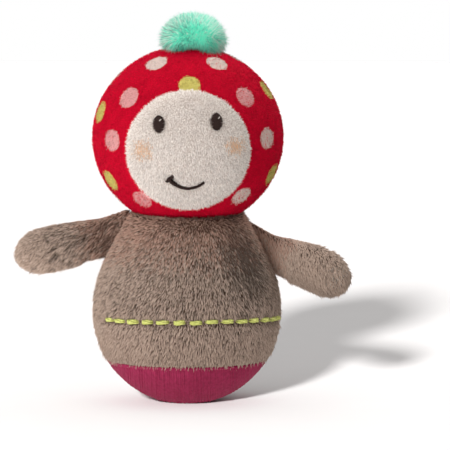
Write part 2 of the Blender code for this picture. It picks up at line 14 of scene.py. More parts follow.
import bpy
import numpy as np
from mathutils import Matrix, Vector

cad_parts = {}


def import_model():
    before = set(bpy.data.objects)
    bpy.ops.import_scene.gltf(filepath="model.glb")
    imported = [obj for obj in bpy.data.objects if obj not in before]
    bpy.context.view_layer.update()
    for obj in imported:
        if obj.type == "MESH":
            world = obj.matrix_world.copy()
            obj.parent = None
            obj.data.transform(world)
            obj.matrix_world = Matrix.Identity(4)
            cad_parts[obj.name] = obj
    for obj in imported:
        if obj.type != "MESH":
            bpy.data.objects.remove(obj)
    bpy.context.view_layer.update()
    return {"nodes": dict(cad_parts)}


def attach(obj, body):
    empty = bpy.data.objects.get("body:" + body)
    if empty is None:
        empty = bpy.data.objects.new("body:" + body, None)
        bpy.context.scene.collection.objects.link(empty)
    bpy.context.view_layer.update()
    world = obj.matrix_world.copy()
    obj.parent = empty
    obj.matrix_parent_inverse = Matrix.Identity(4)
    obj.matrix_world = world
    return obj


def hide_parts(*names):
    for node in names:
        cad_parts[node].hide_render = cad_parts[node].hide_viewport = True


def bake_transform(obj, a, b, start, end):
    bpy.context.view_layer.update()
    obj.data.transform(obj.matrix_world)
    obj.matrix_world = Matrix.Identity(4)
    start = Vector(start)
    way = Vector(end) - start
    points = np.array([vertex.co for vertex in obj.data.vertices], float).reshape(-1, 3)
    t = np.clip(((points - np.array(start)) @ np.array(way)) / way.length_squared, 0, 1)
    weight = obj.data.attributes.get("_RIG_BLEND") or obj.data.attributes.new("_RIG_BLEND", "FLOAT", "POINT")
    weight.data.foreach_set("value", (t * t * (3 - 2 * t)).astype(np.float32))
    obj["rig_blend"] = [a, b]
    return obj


LOG = logging.getLogger("plush_rattle")
BAKE_MAP = "OFBake"
PICTURE_PIXELS = 450
DOWN = np.array([0.0, 0.0, -1.0])

Array = np.ndarray
Values = Array | float
Colour = tuple[float, float, float, float]
Material = bpy.types.Material
Mesh = bpy.types.Mesh
Object = bpy.types.Object
Pair = tuple[float, float]
Triple = tuple[float, float, float]


class Spot(Enum):
    """The print on the hood, by the kind of strand that it dyes."""

    PALE = 1
    PINK = 2
    YELLOW = 3


class Side(Enum):
    """The toy's sides, by the sign of X."""

    LEFT = 1
    RIGHT = -1


class Lit(Enum):
    """What a lamp lights, by Blender's word for what it says of the floor."""

    FLOOR = "INCLUDE"
    TOY = "EXCLUDE"


def dye(*levels: int) -> Colour:
    """Turns a colour of 0 to 255 as seen on a screen into Blender's linear colour.

    Args:
        levels: Its red, green and blue.

    Returns:
        The colour with an alpha of 1.
    """
    shares = [level / 255 for level in levels]
    red, green, blue = (v / 12.92 if v <= 0.04045 else ((v + 0.055) / 1.055) ** 2.4 for v in shares)
    return (red, green, blue, 1.0)


def smooth(share: Values) -> Array:
    """Eases a share in and out between 0 and 1."""
    held = np.clip(share, 0.0, 1.0)
    return held * held * (3 - 2 * held)


@dataclass(frozen=True)
class Ease:
    """What comes in gently from a start, over a length, up to a share."""

    start: float
    length: float
    share: float = 1.0

    def rising(self, values: Values) -> Array:
        """How much of it there is."""
        return self.share * smooth((np.asarray(values) - self.start) / self.length)

    def falling(self, values: Values) -> Array:
        """How much there is where it goes out instead."""
        return self.share * (1 - smooth((np.asarray(values) - self.start) / self.length))


def bell(values: Array, width: float) -> Array:
    """1 at 0, and falling off to both sides."""
    return np.exp(-((values / width) ** 2))


def unit(vectors: Array) -> Array:
    """Vectors at length 1."""
    return vectors / np.maximum(np.linalg.norm(vectors, axis=-1, keepdims=True), 1e-12)


def around(steps: int, start: float = 0.0) -> Array:
    """Angles all the way round."""
    return np.linspace(start, start + math.tau, steps, endpoint=False)


# Nodes


def maths_method(operation: str, reflected: bool = False) -> Callable[["Sock", "Sock | float"], "Sock"]:
    """Makes a method of Sock that adds a Math node.

    Args:
        operation: The node's operation.
        reflected: Whether the other operand comes first.

    Returns:
        The method.
    """

    def method(self: "Sock", other: "Sock | float") -> "Sock":
        """The result of the operation."""
        return self.maths(operation, other, self) if reflected else self.maths(operation, self, other)

    return method


class Sock:
    """A node's output that takes part in Python expressions."""

    def __init__(self, tree: "NodeTree", socket: bpy.types.NodeSocket) -> None:
        """Wraps a socket of a tree."""
        self.tree, self.socket = tree, socket

    def maths(self, operation: str, *operands: "Sock | float", clamp: bool = False) -> "Sock":
        """Adds a Math node on these operands."""
        settings = {"operation": operation, "use_clamp": clamp}
        return self.tree.node("ShaderNodeMath", settings, dict(enumerate(operands)))

    __add__, __radd__ = maths_method("ADD"), maths_method("ADD", True)
    __sub__, __rsub__ = maths_method("SUBTRACT"), maths_method("SUBTRACT", True)
    __mul__, __rmul__ = maths_method("MULTIPLY"), maths_method("MULTIPLY", True)
    __rtruediv__ = maths_method("DIVIDE", True)
    __pow__ = maths_method("POWER")
    above = maths_method("GREATER_THAN")
    larger = maths_method("MAXIMUM")

    def held(self) -> "Sock":
        """This value kept between 0 and 1."""
        return self.maths("ADD", self, 0.0, clamp=True)

    def output(self, name: str | int) -> "Sock":
        """Another output of the same node."""
        return Sock(self.tree, self.socket.node.outputs[name])


Feed = Sock | float | int | bool | str | tuple | bpy.types.ID
Feeds = dict[str | int, Feed]
Settings = dict[str, object]


class NodeTree:
    """Adds nodes to a shader tree or a geometry tree."""

    def __init__(self, tree: bpy.types.NodeTree) -> None:
        """Wraps a tree."""
        self.tree = tree

    def node(
        self, kind: str, settings: Settings | None = None, inputs: Feeds | None = None, output: str | int = 0
    ) -> Sock:
        """Adds a node.

        Args:
            kind: Blender's name of the node's type.
            settings: The node's own settings, set before its sockets.
            inputs: A value or a link for each socket, by name or number.
            output: The output to hand back.

        Returns:
            That output.
        """
        made = self.tree.nodes.new(kind)
        for name, value in (settings or {}).items():
            setattr(made, name, value)
        for key, value in (inputs or {}).items():
            self.feed(made.inputs[key], value)
        return Sock(self, made.outputs[output])

    def feed(self, socket: bpy.types.NodeSocket, value: Feed) -> None:
        """Links a socket to an expression, or sets its value.

        Args:
            socket: The socket.
            value: The expression or the value.
        """
        if isinstance(value, Sock):
            self.tree.links.new(value.socket, socket)
        else:
            socket.default_value = value[:3] if socket.type == "VECTOR" else value

    def vector(self, operation: str, *operands: Sock | tuple) -> Sock:
        """Adds a Vector Math node on these operands."""
        return self.node("ShaderNodeVectorMath", {"operation": operation}, dict(enumerate(operands)))

    def scaled(self, vector: Sock | tuple, by: Sock | float) -> Sock:
        """A vector or colour times a value."""
        return self.node("ShaderNodeVectorMath", {"operation": "SCALE"}, {0: vector, 3: by})

    def axes(self, vector: Sock) -> tuple[Sock, Sock, Sock]:
        """A vector's three parts."""
        split = self.node("ShaderNodeSeparateXYZ", {}, {0: vector})
        return split, split.output(1), split.output(2)

    def noise(self, place: Sock, scale: Sock | float, detail: float = 2.0, curl: float = 0.0) -> Sock:
        """Adds a Noise Texture; output 0 is a value and 1 a colour."""
        inputs: Feeds = {"Vector": place, "Scale": scale, "Detail": detail, "Distortion": curl}
        return self.node("ShaderNodeTexNoise", {}, inputs)


class Shader(NodeTree):
    """A material that is being made."""

    def __init__(self, name: str) -> None:
        """Starts a material with one Principled shader.

        Args:
            name: The material's name.
        """
        self.material = bpy.data.materials.new(name)
        self.material.use_nodes = True
        super().__init__(self.material.node_tree)
        self.surface = self.tree.nodes["Principled BSDF"]

    def place(self) -> Sock:
        """Object coordinates, in metres."""
        return self.node("ShaderNodeTexCoord", output="Object")

    def attribute(self, name: str, output: str = "Fac") -> Sock:
        """The piece's own attribute."""
        return self.node("ShaderNodeAttribute", {"attribute_name": name}, output=output)

    def mix(self, share: Sock | float, first: Sock | tuple, second: Sock | tuple) -> Sock:
        """Goes from one colour to another."""
        return self.node("ShaderNodeMix", {"data_type": "RGBA"}, {0: share, 6: first, 7: second}, 2)

    def bump(self, height: Sock, distance: float, strength: float) -> Sock:
        """A normal that shows a height."""
        return self.node("ShaderNodeBump", {}, {"Strength": strength, "Distance": distance, "Height": height})

    def dress(self, inputs: Feeds) -> Material:
        """Sets sockets of the Principled shader.

        Args:
            inputs: A value or a link for each socket.

        Returns:
            The finished material.
        """
        for name, value in inputs.items():
            self.feed(self.surface.inputs[name], value)
        return self.material


class GeometryTree(NodeTree):
    """A geometry node group with named inputs."""

    ALIGN = "FunctionNodeAlignRotationToVector"

    def __init__(self, name: str, inputs: dict[str, str]) -> None:
        """Starts the group.

        Args:
            name: The group's name.
            inputs: Blender's word for the kind of each input besides the geometry.
        """
        self.group = bpy.data.node_groups.new(name, "GeometryNodeTree")
        face = self.group.interface
        for way in ("OUTPUT", "INPUT"):
            face.new_socket("Geometry", in_out=way, socket_type="NodeSocketGeometry")
        for title, kind in inputs.items():
            face.new_socket(title, in_out="INPUT", socket_type=f"NodeSocket{kind}")
        super().__init__(self.group)
        self.given = self.group.nodes.new("NodeGroupInput")

    def input(self, name: str) -> Sock:
        """One of the group's inputs."""
        return Sock(self, self.given.outputs[name])

    def attribute(self, name: str, kind: str = "FLOAT") -> Sock:
        """A named attribute of the geometry."""
        return self.node("GeometryNodeInputNamedAttribute", {"data_type": kind}, {"Name": name})

    def stored(self, geometry: Sock, name: str, value: Sock, kind: str, domain: str = "POINT") -> Sock:
        """The geometry with a named attribute written to it."""
        inputs: Feeds = {"Geometry": geometry, "Name": name, "Value": value}
        return self.node("GeometryNodeStoreNamedAttribute", {"data_type": kind, "domain": domain}, inputs)

    def faced(self, along: Sock, out: Sock) -> Sock:
        """A rotation with Z along one vector and X turned towards another."""
        first = self.node(self.ALIGN, {"axis": "Z"}, {"Vector": along})
        return self.node(self.ALIGN, {"axis": "X", "pivot_axis": "Z"}, {"Rotation": first, "Vector": out})

    def on_points(self, points: Sock, what: str, rotation: Sock, scale: Sock) -> Sock:
        """Sets an object down on points and makes the copies real.

        Args:
            points: The points.
            what: The group's input that names the object.
            rotation: Each copy's rotation.
            scale: Each copy's size.

        Returns:
            The copies.
        """
        shape = self.node("GeometryNodeObjectInfo", {}, {"Object": self.input(what)}, "Geometry")
        laid: Feeds = {"Points": points, "Instance": shape, "Rotation": rotation, "Scale": scale}
        copies = self.node("GeometryNodeInstanceOnPoints", {}, laid)
        return self.node("GeometryNodeRealizeInstances", {}, {"Geometry": copies})

    def close(self, geometry: Sock) -> None:
        """Ends the group: realises what is left, smooths it and gives it the material.

        Args:
            geometry: The geometry.
        """
        real = self.node("GeometryNodeRealizeInstances", {}, {"Geometry": geometry})
        soft = self.node("GeometryNodeSetShadeSmooth", {}, {"Geometry": real})
        inputs: Feeds = {"Geometry": soft, "Material": self.input("Material")}
        worn = self.node("GeometryNodeSetMaterial", {}, inputs)
        self.group.links.new(worn.socket, self.group.nodes.new("NodeGroupOutput").inputs[0])

    def made(self, source: Object, name: str, values: Feeds) -> Object:
        """Runs the group on an object and keeps the result as a plain mesh.

        Args:
            source: The object whose mesh goes in. It's left as it was.
            name: The new piece's name.
            values: A value for each of the group's inputs.

        Returns:
            The new piece.
        """
        modifier = source.modifiers.new(self.group.name, "NODES")
        modifier.node_group = self.group
        for item in self.group.interface.items_tree:
            if item.in_out == "INPUT" and item.name in values:
                modifier[item.identifier] = values[item.name]
        mesh = evaluated_mesh(source)
        source.modifiers.remove(modifier)
        mesh.name = name
        return linked(mesh)


# Meshes


def linked(mesh: Mesh) -> Object:
    """Puts a mesh into the scene, at the origin.

    Args:
        mesh: The mesh.

    Returns:
        The new object, named after its mesh.
    """
    piece = bpy.data.objects.new(mesh.name, mesh)
    bpy.context.scene.collection.objects.link(piece)
    return piece


def evaluated_mesh(piece: Object) -> Mesh:
    """A plain copy of a piece's mesh with its modifiers applied.

    Args:
        piece: The piece.

    Returns:
        The copy.
    """
    piece.update_tag()
    depsgraph = bpy.context.evaluated_depsgraph_get()
    shown = piece.evaluated_get(depsgraph)
    return bpy.data.meshes.new_from_object(shown, preserve_all_data_layers=True, depsgraph=depsgraph)


def places_of(mesh: Mesh, what: str = "co") -> Array:
    """Reads a mesh's vertices.

    Args:
        mesh: The mesh.
        what: Blender's word for what is read: co or normal.

    Returns:
        The vertices' places, or their normals.
    """
    flat = np.empty(len(mesh.vertices) * 3, np.float32)
    mesh.vertices.foreach_get(what, flat)
    return flat.reshape(-1, 3).astype(float)


def put_places(mesh: Mesh, places: Array) -> None:
    """Moves a mesh's vertices."""
    mesh.vertices.foreach_set("co", places.astype(np.float32).ravel())
    mesh.update()


def write(mesh: Mesh, name: str, values: Array) -> None:
    """Writes a value or a vector for each vertex as a named attribute.

    Args:
        mesh: The mesh.
        name: The attribute.
        values: The values or vectors.
    """
    vectors = values.ndim == 2
    layer = mesh.attributes.get(name)
    layer = layer or mesh.attributes.new(name, "FLOAT_VECTOR" if vectors else "FLOAT", "POINT")
    layer.data.foreach_set("vector" if vectors else "value", values.astype(np.float32).ravel())


def mesh_from(name: str, places: Array, faces: Sequence[Sequence[int]], edges: Sequence = ()) -> Mesh:
    """Makes a smooth mesh.

    Args:
        name: Its name.
        places: Its vertices.
        faces: Its faces, as numbers of vertices.
        edges: Its loose edges.

    Returns:
        The mesh.
    """
    mesh = bpy.data.meshes.new(name)
    mesh.from_pydata(places.tolist(), edges, faces)
    mesh.validate()
    mesh.shade_smooth()
    mesh.update()
    return mesh


def ring_faces(rows: int, steps: int) -> list[list[int]]:
    """The faces of a closed form of rings between two poles.

    Args:
        rows: How many rings there are.
        steps: How many points each of them has.

    Returns:
        Numbers of vertices for each face. The poles come after the rings, low and high.
    """
    number = np.arange(rows * steps).reshape(rows, steps)
    after = np.roll(number, -1, axis=1)
    faces = np.stack([number[:-1], after[:-1], after[1:], number[1:]], -1).reshape(-1, 4).tolist()
    faces += [[int(after[0, i]), int(number[0, i]), rows * steps] for i in range(steps)]
    faces += [[int(number[-1, i]), int(after[-1, i]), rows * steps + 1] for i in range(steps)]
    return faces


def ringed(name: str, rings: Array, low: Array, high: Array) -> Object:
    """A closed form of rings, each anticlockwise from above, from a low pole to a high one."""
    faces = ring_faces(*rings.shape[:2])
    return linked(mesh_from(name, np.vstack([rings.reshape(-1, 3), low, high]), faces))


def inset(surface: Callable[[Array, Array], Array], across: Array, up: Array, depth: float) -> Array:
    """Points that lie inside a surface.

    Args:
        surface: Gives a point for each pair of parameters.
        across: The first parameter of each point.
        up: The second one.
        depth: How far they lie in along its normals.

    Returns:
        The points.
    """
    step = 1e-4
    along = surface(across + step, up) - surface(across - step, up)
    over = surface(across, up + step) - surface(across, up - step)
    return surface(across, up) - depth * unit(np.cross(along, over))


def tangent(vectors: Array, normals: Array) -> Array:
    """Vectors laid onto a surface, at length 1."""
    return unit(vectors - normals * (vectors * normals).sum(1, keepdims=True))


def turning(angle: float, first: int, second: int) -> Array:
    """The matrix of a turn.

    Args:
        angle: How far it turns.
        first: The axis that it starts from.
        second: The axis that it goes towards.

    Returns:
        The matrix.
    """
    turn = np.eye(3)
    turn[first, first] = turn[second, second] = math.cos(angle)
    turn[second, first] = math.sin(angle)
    turn[first, second] = -math.sin(angle)
    return turn


@dataclass(frozen=True)
class Stuffing:
    """How hard a skin is stuffed, and the cloth that holds it."""

    pressure: float
    cap: float = 0.0006
    frames: int = 20
    quality: int = 6
    mass: float = 0.02
    stiffness: float = 12.0
    bending: float = 0.4

    def fill(self, piece: Object, seams: Array) -> None:
        """Puffs a skin out between its seams, then refines it.

        Args:
            piece: The skin, whose mesh is changed.
            seams: Which vertices are held.
        """
        self.swell(piece, seams)
        finer = piece.modifiers.new("finer", "SUBSURF")
        finer.levels = finer.render_levels = 1
        old, piece.data = piece.data, evaluated_mesh(piece)
        piece.modifiers.remove(finer)
        bpy.data.meshes.remove(old)

    def swell(self, piece: Object, seams: Array) -> None:
        """Runs Blender's cloth on a skin.

        Args:
            piece: The skin.
            seams: Which vertices are held.
        """
        start = places_of(piece.data)
        group = piece.vertex_groups.new(name="seams")
        group.add(np.flatnonzero(seams).tolist(), 1.0, "REPLACE")
        cloth = piece.modifiers.new("stuffing", "CLOTH")
        settings = cloth.settings
        settings.quality, settings.mass = self.quality, self.mass
        settings.use_pressure, settings.uniform_pressure_force = True, self.pressure
        settings.tension_stiffness = settings.compression_stiffness = self.stiffness
        settings.bending_stiffness = self.bending
        settings.vertex_group_mass = group.name
        settings.effector_weights.gravity = 0.0
        cloth.collision_settings.use_collision = False
        scene = bpy.context.scene
        for number in range(1, self.frames + 1):
            scene.frame_set(number)
        moved = places_of(evaluated_mesh(piece)) - start
        piece.modifiers.remove(cloth)
        piece.vertex_groups.remove(group)
        scene.frame_set(1)
        length = np.linalg.norm(moved, axis=1, keepdims=True)
        put_places(piece.data, start + moved * np.minimum(1.0, self.cap / np.maximum(length, 1e-9)))


def seat(piece: Object, body: str | None, slot: str, *nodes: str, fill: float | None = None) -> None:
    """Fixes a finished piece to the frame and reports it.

    Args:
        piece: The piece.
        body: The body that it rides on, or None where it already bends between two.
        slot: The name of a material slot; not used.
        nodes: The CAD nodes that it stands for.
        fill: How full a padded piece is; not used.
    """
    if body:
        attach(piece, body)
    if nodes:
        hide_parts(*nodes)
    piece.data.calc_loop_triangles()
    LOG.info("%s: %d triangles, for %s", piece.name, len(piece.data.loop_triangles), nodes or "looks")


# Pile


class PileTree(GeometryTree):
    """Grows strands from a skin, which holds the attributes comb, pile, part, tone and dye."""

    SIZES = ("Length", "Thickness", "Lift", "Spread", "Clump", "Pull", "Mottle", "Kinds", "Lock", "Parting")
    LEAST = 0.05
    SUNK = 0.0002

    def __init__(self) -> None:
        """Builds the group."""
        inputs = dict.fromkeys(("Density", *self.SIZES), "Float")
        super().__init__("pile", inputs | {"Seed": "Int", "Strand": "Object", "Material": "Material"})
        pile = self.attribute("pile")
        density = self.input("Density") * self.attribute("part") * pile.above(self.LEAST)
        sown: Feeds = {"Mesh": self.input("Geometry"), "Density": density, "Seed": self.input("Seed")}
        roots = self.node("GeometryNodeDistributePointsOnFaces", {}, sown)
        normal = roots.output("Normal")
        roots = self.stored(roots, "nap", normal, "FLOAT_VECTOR")
        roots = self.stored(roots, "shade", self.shade(), "FLOAT")
        roots = self.stored(roots, "kind", self.kind(), "FLOAT")
        sunk: Feeds = {"Geometry": roots, "Offset": self.scaled(normal, -self.SUNK)}
        roots = self.node("GeometryNodeSetPosition", {}, sunk)
        length = self.input("Length") * pile * (0.70 + 0.6 * self.random(1))
        length = length * (1.0 + self.input("Parting") * 0.5 * (self.lock() - 0.5))
        thick = self.input("Thickness") * (0.65 + 0.7 * self.random(2))
        size = self.node("ShaderNodeCombineXYZ", {}, {0: thick, 1: thick, 2: length})
        strands = self.on_points(roots, "Strand", self.faced(self.direction(normal), normal), size)
        self.close(self.stored(strands, BAKE_MAP, self.bake_place(), "FLOAT2", "CORNER"))

    def random(self, number: int) -> Sock:
        """A fixed random value from 0 to 1 for each strand."""
        seed = self.input("Seed") + float(number)
        return self.node("FunctionNodeRandomValue", {"data_type": "FLOAT"}, {8: seed}, 1)

    def position(self) -> Sock:
        """A strand's place."""
        return self.node("GeometryNodeInputPosition")

    def direction(self, normal: Sock) -> Sock:
        """Which way a strand points: up from the skin, as it is combed, and with its neighbours.

        Args:
            normal: The skin's normal.

        Returns:
            The direction.
        """
        pull = self.noise(self.position(), 1.0 / self.input("Clump"), 1.0).output(1)
        pull = self.scaled(self.vector("SUBTRACT", pull, (0.5, 0.5, 0.5)), self.input("Pull"))
        ends: Feeds = {0: (-1.0, -1.0, -1.0), 1: (1.0, 1.0, 1.0), 8: self.input("Seed")}
        stray = self.node("FunctionNodeRandomValue", {"data_type": "FLOAT_VECTOR"}, ends)
        laid = self.vector("ADD", self.attribute("comb", "FLOAT_VECTOR"), pull)
        laid = self.vector("ADD", laid, self.scaled(stray, self.input("Spread")))
        lift = self.input("Lift") * (0.7 + 0.6 * self.random(5)) + 0.5 * self.random(6).above(0.965)
        return self.vector("ADD", laid, self.scaled(normal, lift))

    def lock(self) -> Sock:
        """Finds the locks, which lie along the comb.

        Returns:
            How far a strand is inside a lock, from 0 between two locks to 1.
        """
        place = self.position()
        way = self.vector("NORMALIZE", self.attribute("comb", "FLOAT_VECTOR"))
        along = self.vector("DOT_PRODUCT", place, way).output("Value")
        across = self.vector("SUBTRACT", place, self.scaled(way, along * 0.82))
        found = self.noise(across, 1.0 / self.input("Lock"), 1.0)
        return ((found - 0.5) * 2.6 + 0.5).held()

    def shade(self) -> Sock:
        """Makes strands alike in a clump.

        Returns:
            How light a strand is, from 0 to 1.
        """
        clump = self.noise(self.position(), 1.6 / self.input("Clump")) - 0.5
        lock = self.input("Parting") * (self.lock() - 0.5)
        loose = (self.random(3) - 0.5) * 0.8
        # The lock term darkens strands between locks as painted shade, and the attribute tone adds painted
        # light and shade.
        return (0.5 + self.attribute("tone") + clump * self.input("Mottle") + lock + loose).held()

    def kind(self) -> Sock:
        """Picks a dye by chance, so that strands along a printed edge differ.

        Returns:
            Which of the dyes a strand has.
        """
        chance = 0.15 + 0.7 * self.random(4)
        dyes = self.axes(self.attribute("dye", "FLOAT_VECTOR"))
        first, second, third = (dyes[spot.value - 1].above(chance) * float(spot.value) for spot in Spot)
        return first + second + third

    def bake_place(self) -> Sock:
        """Lays strands onto the bake map by dye, shade and height, so that like ones share a place.

        Returns:
            The place.
        """
        shade = 0.1 + 0.8 * self.attribute("shade") + 0.05 * self.attribute("side")
        across = (self.attribute("kind") + shade) * (1.0 / self.input("Kinds"))
        return self.node("ShaderNodeCombineXYZ", {}, {0: across, 1: 0.03 + 0.94 * self.attribute("tip")})


@dataclass(frozen=True)
class Pile:
    """The sizes of one pile, and of its strands."""

    count: int
    length: float
    thickness: float
    lift: float
    spread: float
    clump: float = 0.004
    pull: float = 1.2
    mottle: float = 1.5
    kinds: int = 1
    seed: int = 1
    softness: float = 0.6
    lock: float = 0.0011
    parting: float = 0.0
    belly: float = 0.45
    bow: float = 0.9

    def strand(self) -> Object:
        """Makes a lock of pile along Z, one metre long and thick, that bows away from the skin.

        Returns:
            The lock.
        """
        turns = np.radians([90.0, 210.0, 330.0])
        ring = np.stack([self.bow + 0.5 * np.cos(turns), 0.5 * np.sin(turns), np.full(3, self.belly)], 1)
        sides = [[0, 1 + (i + 1) % 3, 1 + i] for i in range(3)]
        tips = [[1 + i, 1 + (i + 1) % 3, 4] for i in range(3)]
        mesh = mesh_from("strand", np.vstack([[0, 0, 0], ring, [0, 0, 1]]), sides + tips)
        write(mesh, "tip", np.array([0.0, self.belly, self.belly, self.belly, 1.0]))
        write(mesh, "side", np.array([0.0, 1.0, -1.0, 0.0, 0.0]))
        return linked(mesh)

    def grow(self, tree: PileTree, skin: Object, finish: Material, parts: dict[str, Values]) -> list[Object]:
        """Grows the pile on each panel of a skin, with strands of its own.

        Args:
            tree: The node group.
            skin: The skin, with its attributes.
            finish: The strands' material.
            parts: Which vertices a panel has, as 0 or 1, by its piece's name.

        Returns:
            The pieces.
        """
        pieces, strand = [], self.strand()
        values: Feeds = {size: float(getattr(self, size.lower())) for size in tree.SIZES}
        values |= {"Strand": strand, "Material": finish}
        for number, (name, part) in enumerate(parts.items()):
            share = np.zeros(len(skin.data.vertices)) + part
            write(skin.data, "part", share)
            area = sum(face.area * float(share[face.vertices[0]]) for face in skin.data.polygons)
            own: Feeds = {"Density": self.count / area, "Seed": self.seed + 100 * number}
            pieces.append(tree.made(skin, name, values | own))
            self.soften(pieces[-1].data)
        bpy.data.meshes.remove(strand.data)
        return pieces

    def soften(self, mesh: Mesh) -> None:
        """Turns the strands' normals towards the skin's, as light comes through soft pile.

        Args:
            mesh: The strands' mesh.
        """
        flat = np.empty(len(mesh.vertices) * 3, np.float32)
        mesh.attributes["nap"].data.foreach_get("vector", flat)
        own, nap = places_of(mesh, "normal"), flat.reshape(-1, 3)
        mesh.normals_split_custom_set_from_vertices(unit(own * (1 - self.softness) + nap * self.softness))
        for name in ("nap", "comb", "pile", "part", "tone", "dye", "side"):
            mesh.attributes.remove(mesh.attributes[name])


def planted(mesh: Mesh, comb: Array, pile: Array, prints: Array, tone: Values = 0.0) -> None:
    """Writes what the pile needs to a skin.

    Args:
        mesh: The skin's mesh.
        comb: The pile's direction at each vertex.
        pile: How long the pile is there, as a share.
        prints: How much of each of three prints is there, or of the first one; on the body and the arms it is
            a painted red reflection, on the pompom painted light on its rim.
        tone: How much lighter or darker the strands are painted, as painted light and shade.
    """
    count = len(mesh.vertices)
    dyes = np.zeros((count, 3))
    dyes[:, : 3 if prints.ndim == 2 else 1] = prints.reshape(count, -1)
    values = {"comb": comb, "pile": pile, "tone": np.zeros(count) + tone, "dye": dyes}
    for name, value in values.items():
        write(mesh, name, value)


# Thread


@dataclass(frozen=True)
class Thread:
    """One stitch of twisted plies, along Z, one metre long and thick. Its ends dive into the cloth."""

    plies: int = 2
    sides: int = 7
    rings: int = 13
    twist: float = 2.6
    dive: float = 0.8
    blunt: float = 5.0
    apart: float = 0.24

    def build(self) -> Object:
        """Makes the stitch.

        Returns:
            Its object.
        """
        places = []
        share = np.linspace(-1, 1, self.rings)
        reach = self.apart if self.plies > 1 else 0.0
        turns = around(self.sides)
        circle = np.stack([np.cos(turns), np.sin(turns), np.zeros(self.sides)], 1)
        wide = (0.5 - reach * 0.8) * np.clip(1 - np.abs(share) ** self.blunt, 0.03, 1) ** 0.6
        for ply in range(self.plies):
            lay = self.twist * share + math.tau * ply / self.plies
            middle = np.stack([reach * np.cos(lay), reach * np.sin(lay), share / 2], 1)
            middle[:, 0] -= self.dive * np.abs(share) ** 3
            rows = middle[:, None] + circle[None] * wide[:, None, None]
            places += [rows.reshape(-1, 3), middle[[0, -1]]]
        first = [ply * (self.rings * self.sides + 2) for ply in range(self.plies)]
        tube = ring_faces(self.rings, self.sides)
        faces = [[start + index for index in face] for start in first for face in tube]
        return linked(mesh_from("thread", np.vstack(places), faces))


Stitch = tuple[Array, Array, Array, Triple]


class StitchTree(GeometryTree):
    """Lays a stitch at each vertex, by its attributes along, out and size."""

    ATTRIBUTES = ("along", "out", "size")

    def __init__(self) -> None:
        """Builds the group."""
        super().__init__("stitches", {"Thread": "Object", "Material": "Material"})
        points = self.node("GeometryNodeMeshToPoints", {}, {"Mesh": self.input("Geometry")})
        along, out, size = (self.attribute(name, "FLOAT_VECTOR") for name in self.ATTRIBUTES)
        self.close(self.on_points(points, "Thread", self.faced(along, out), size))

    def sewn(self, name: str, thread: Thread, stitches: Sequence[Stitch], finish: Material) -> Object:
        """Lays stitches of one thread.

        Args:
            name: The new piece's name.
            thread: The thread.
            stitches: The middle of each, its direction, the side that shows, and its sizes.
            finish: The thread's material.

        Returns:
            The stitches as one piece.
        """
        places, *values = (np.array(column) for column in zip(*stitches))
        source, shape = linked(mesh_from("stitch_places", places, [])), thread.build()
        for attribute, value in zip(self.ATTRIBUTES, values):
            write(source.data, attribute, value)
        piece = self.made(source, name, {"Thread": shape, "Material": finish})
        for spare in (source, shape):
            bpy.data.meshes.remove(spare.data)
        for attribute in set(self.ATTRIBUTES) & set(piece.data.attributes.keys()):
            piece.data.attributes.remove(piece.data.attributes[attribute])
        return piece


class RibTree(GeometryTree):
    """Runs a round rib along each line of edges."""

    SIDES = 8

    def __init__(self) -> None:
        """Builds the group."""
        super().__init__("ribs", {"Width": "Float", "Material": "Material"})
        lines = self.node("GeometryNodeMeshToCurve", {}, {"Mesh": self.input("Geometry")})
        circle: Feeds = {"Resolution": self.SIDES, "Radius": self.input("Width") * 0.5}
        profile = self.node("GeometryNodeCurvePrimitiveCircle", {}, circle)
        swept: Feeds = {"Curve": lines, "Profile Curve": profile, "Fill Caps": True}
        self.close(self.node("GeometryNodeCurveToMesh", {}, swept))


# Finishes


@dataclass(frozen=True)
class PileFinish:
    """A pile's dyes, one for each kind of strand, with its own colour at the roots, which is painted shade
    deep in the pile, and at the tips, which is painted light coming through them.
    """

    name: str
    dyes: tuple[Colour, ...]
    root: Colour
    cover: float = 0.5
    spread: float = 0.5
    painted_tip_light: float = 0.0
    painted_tip_colour: Colour = (1.0, 1.0, 1.0, 1.0)
    sheen: float = 0.25
    gloss: float = 0.15

    def material(self) -> Material:
        """Makes the strands' dyes from their own attributes alone.

        Returns:
            The material.
        """
        shader = Shader(self.name)
        tip, kind = shader.attribute("tip"), shader.attribute("kind")
        colour: Sock | Colour = self.dyes[0]
        for number, other in enumerate(self.dyes[1:]):
            colour = shader.mix(kind.above(number + 0.5), colour, other)
        # Paler tips: painted light coming through the strands.
        if self.painted_tip_light:
            colour = shader.mix(self.painted_tip_light * tip**4.0, colour, self.painted_tip_colour)
        # Darker roots: painted shade deep in the pile.
        colour = shader.mix((tip * (1.0 / self.cover)).held(), self.root, colour)
        light = 1.0 - self.spread * (1.0 - shader.attribute("shade")) ** 2.0
        shown: Feeds = {"Base Color": shader.scaled(colour, light), "Roughness": 0.92}
        shown |= {"Sheen Weight": self.sheen, "Sheen Roughness": 0.45, "Sheen Tint": self.dyes[0]}
        return shader.dress(shown | {"Specular IOR Level": self.gloss})


@dataclass(frozen=True)
class Finish:
    """A material of two close shades."""

    name: str
    colour: Colour
    shaded: Colour

    def shades(self, shader: Shader, share: Sock) -> Sock:
        """Goes from the dark shade to the light one."""
        return shader.mix(share.held(), self.shaded, self.colour)

    def dressed(self, shader: Shader, colour: Sock, rough: Feed, bumps: Sock, gloss: float = 0.5) -> Material:
        """Ends the material with its colour, roughness, normal and gloss."""
        shown: Feeds = {"Base Color": colour, "Roughness": rough, "Normal": bumps}
        return shader.dress(shown | {"Specular IOR Level": gloss})


class BackingFinish(Finish):
    """The knitted backing that a pile stands on."""

    def material(self) -> Material:
        """Makes fine loops over slow changes of shade.

        Returns:
            The material.
        """
        shader = Shader(self.name)
        place = shader.place()
        loops = shader.noise(place, 1600.0)
        colour = self.shades(shader, 0.6 * loops + 0.6 * shader.noise(place, 220.0, 3.0) - 0.1)
        return self.dressed(shader, colour, 0.95, shader.bump(loops, 0.0003, 0.6), 0.1)


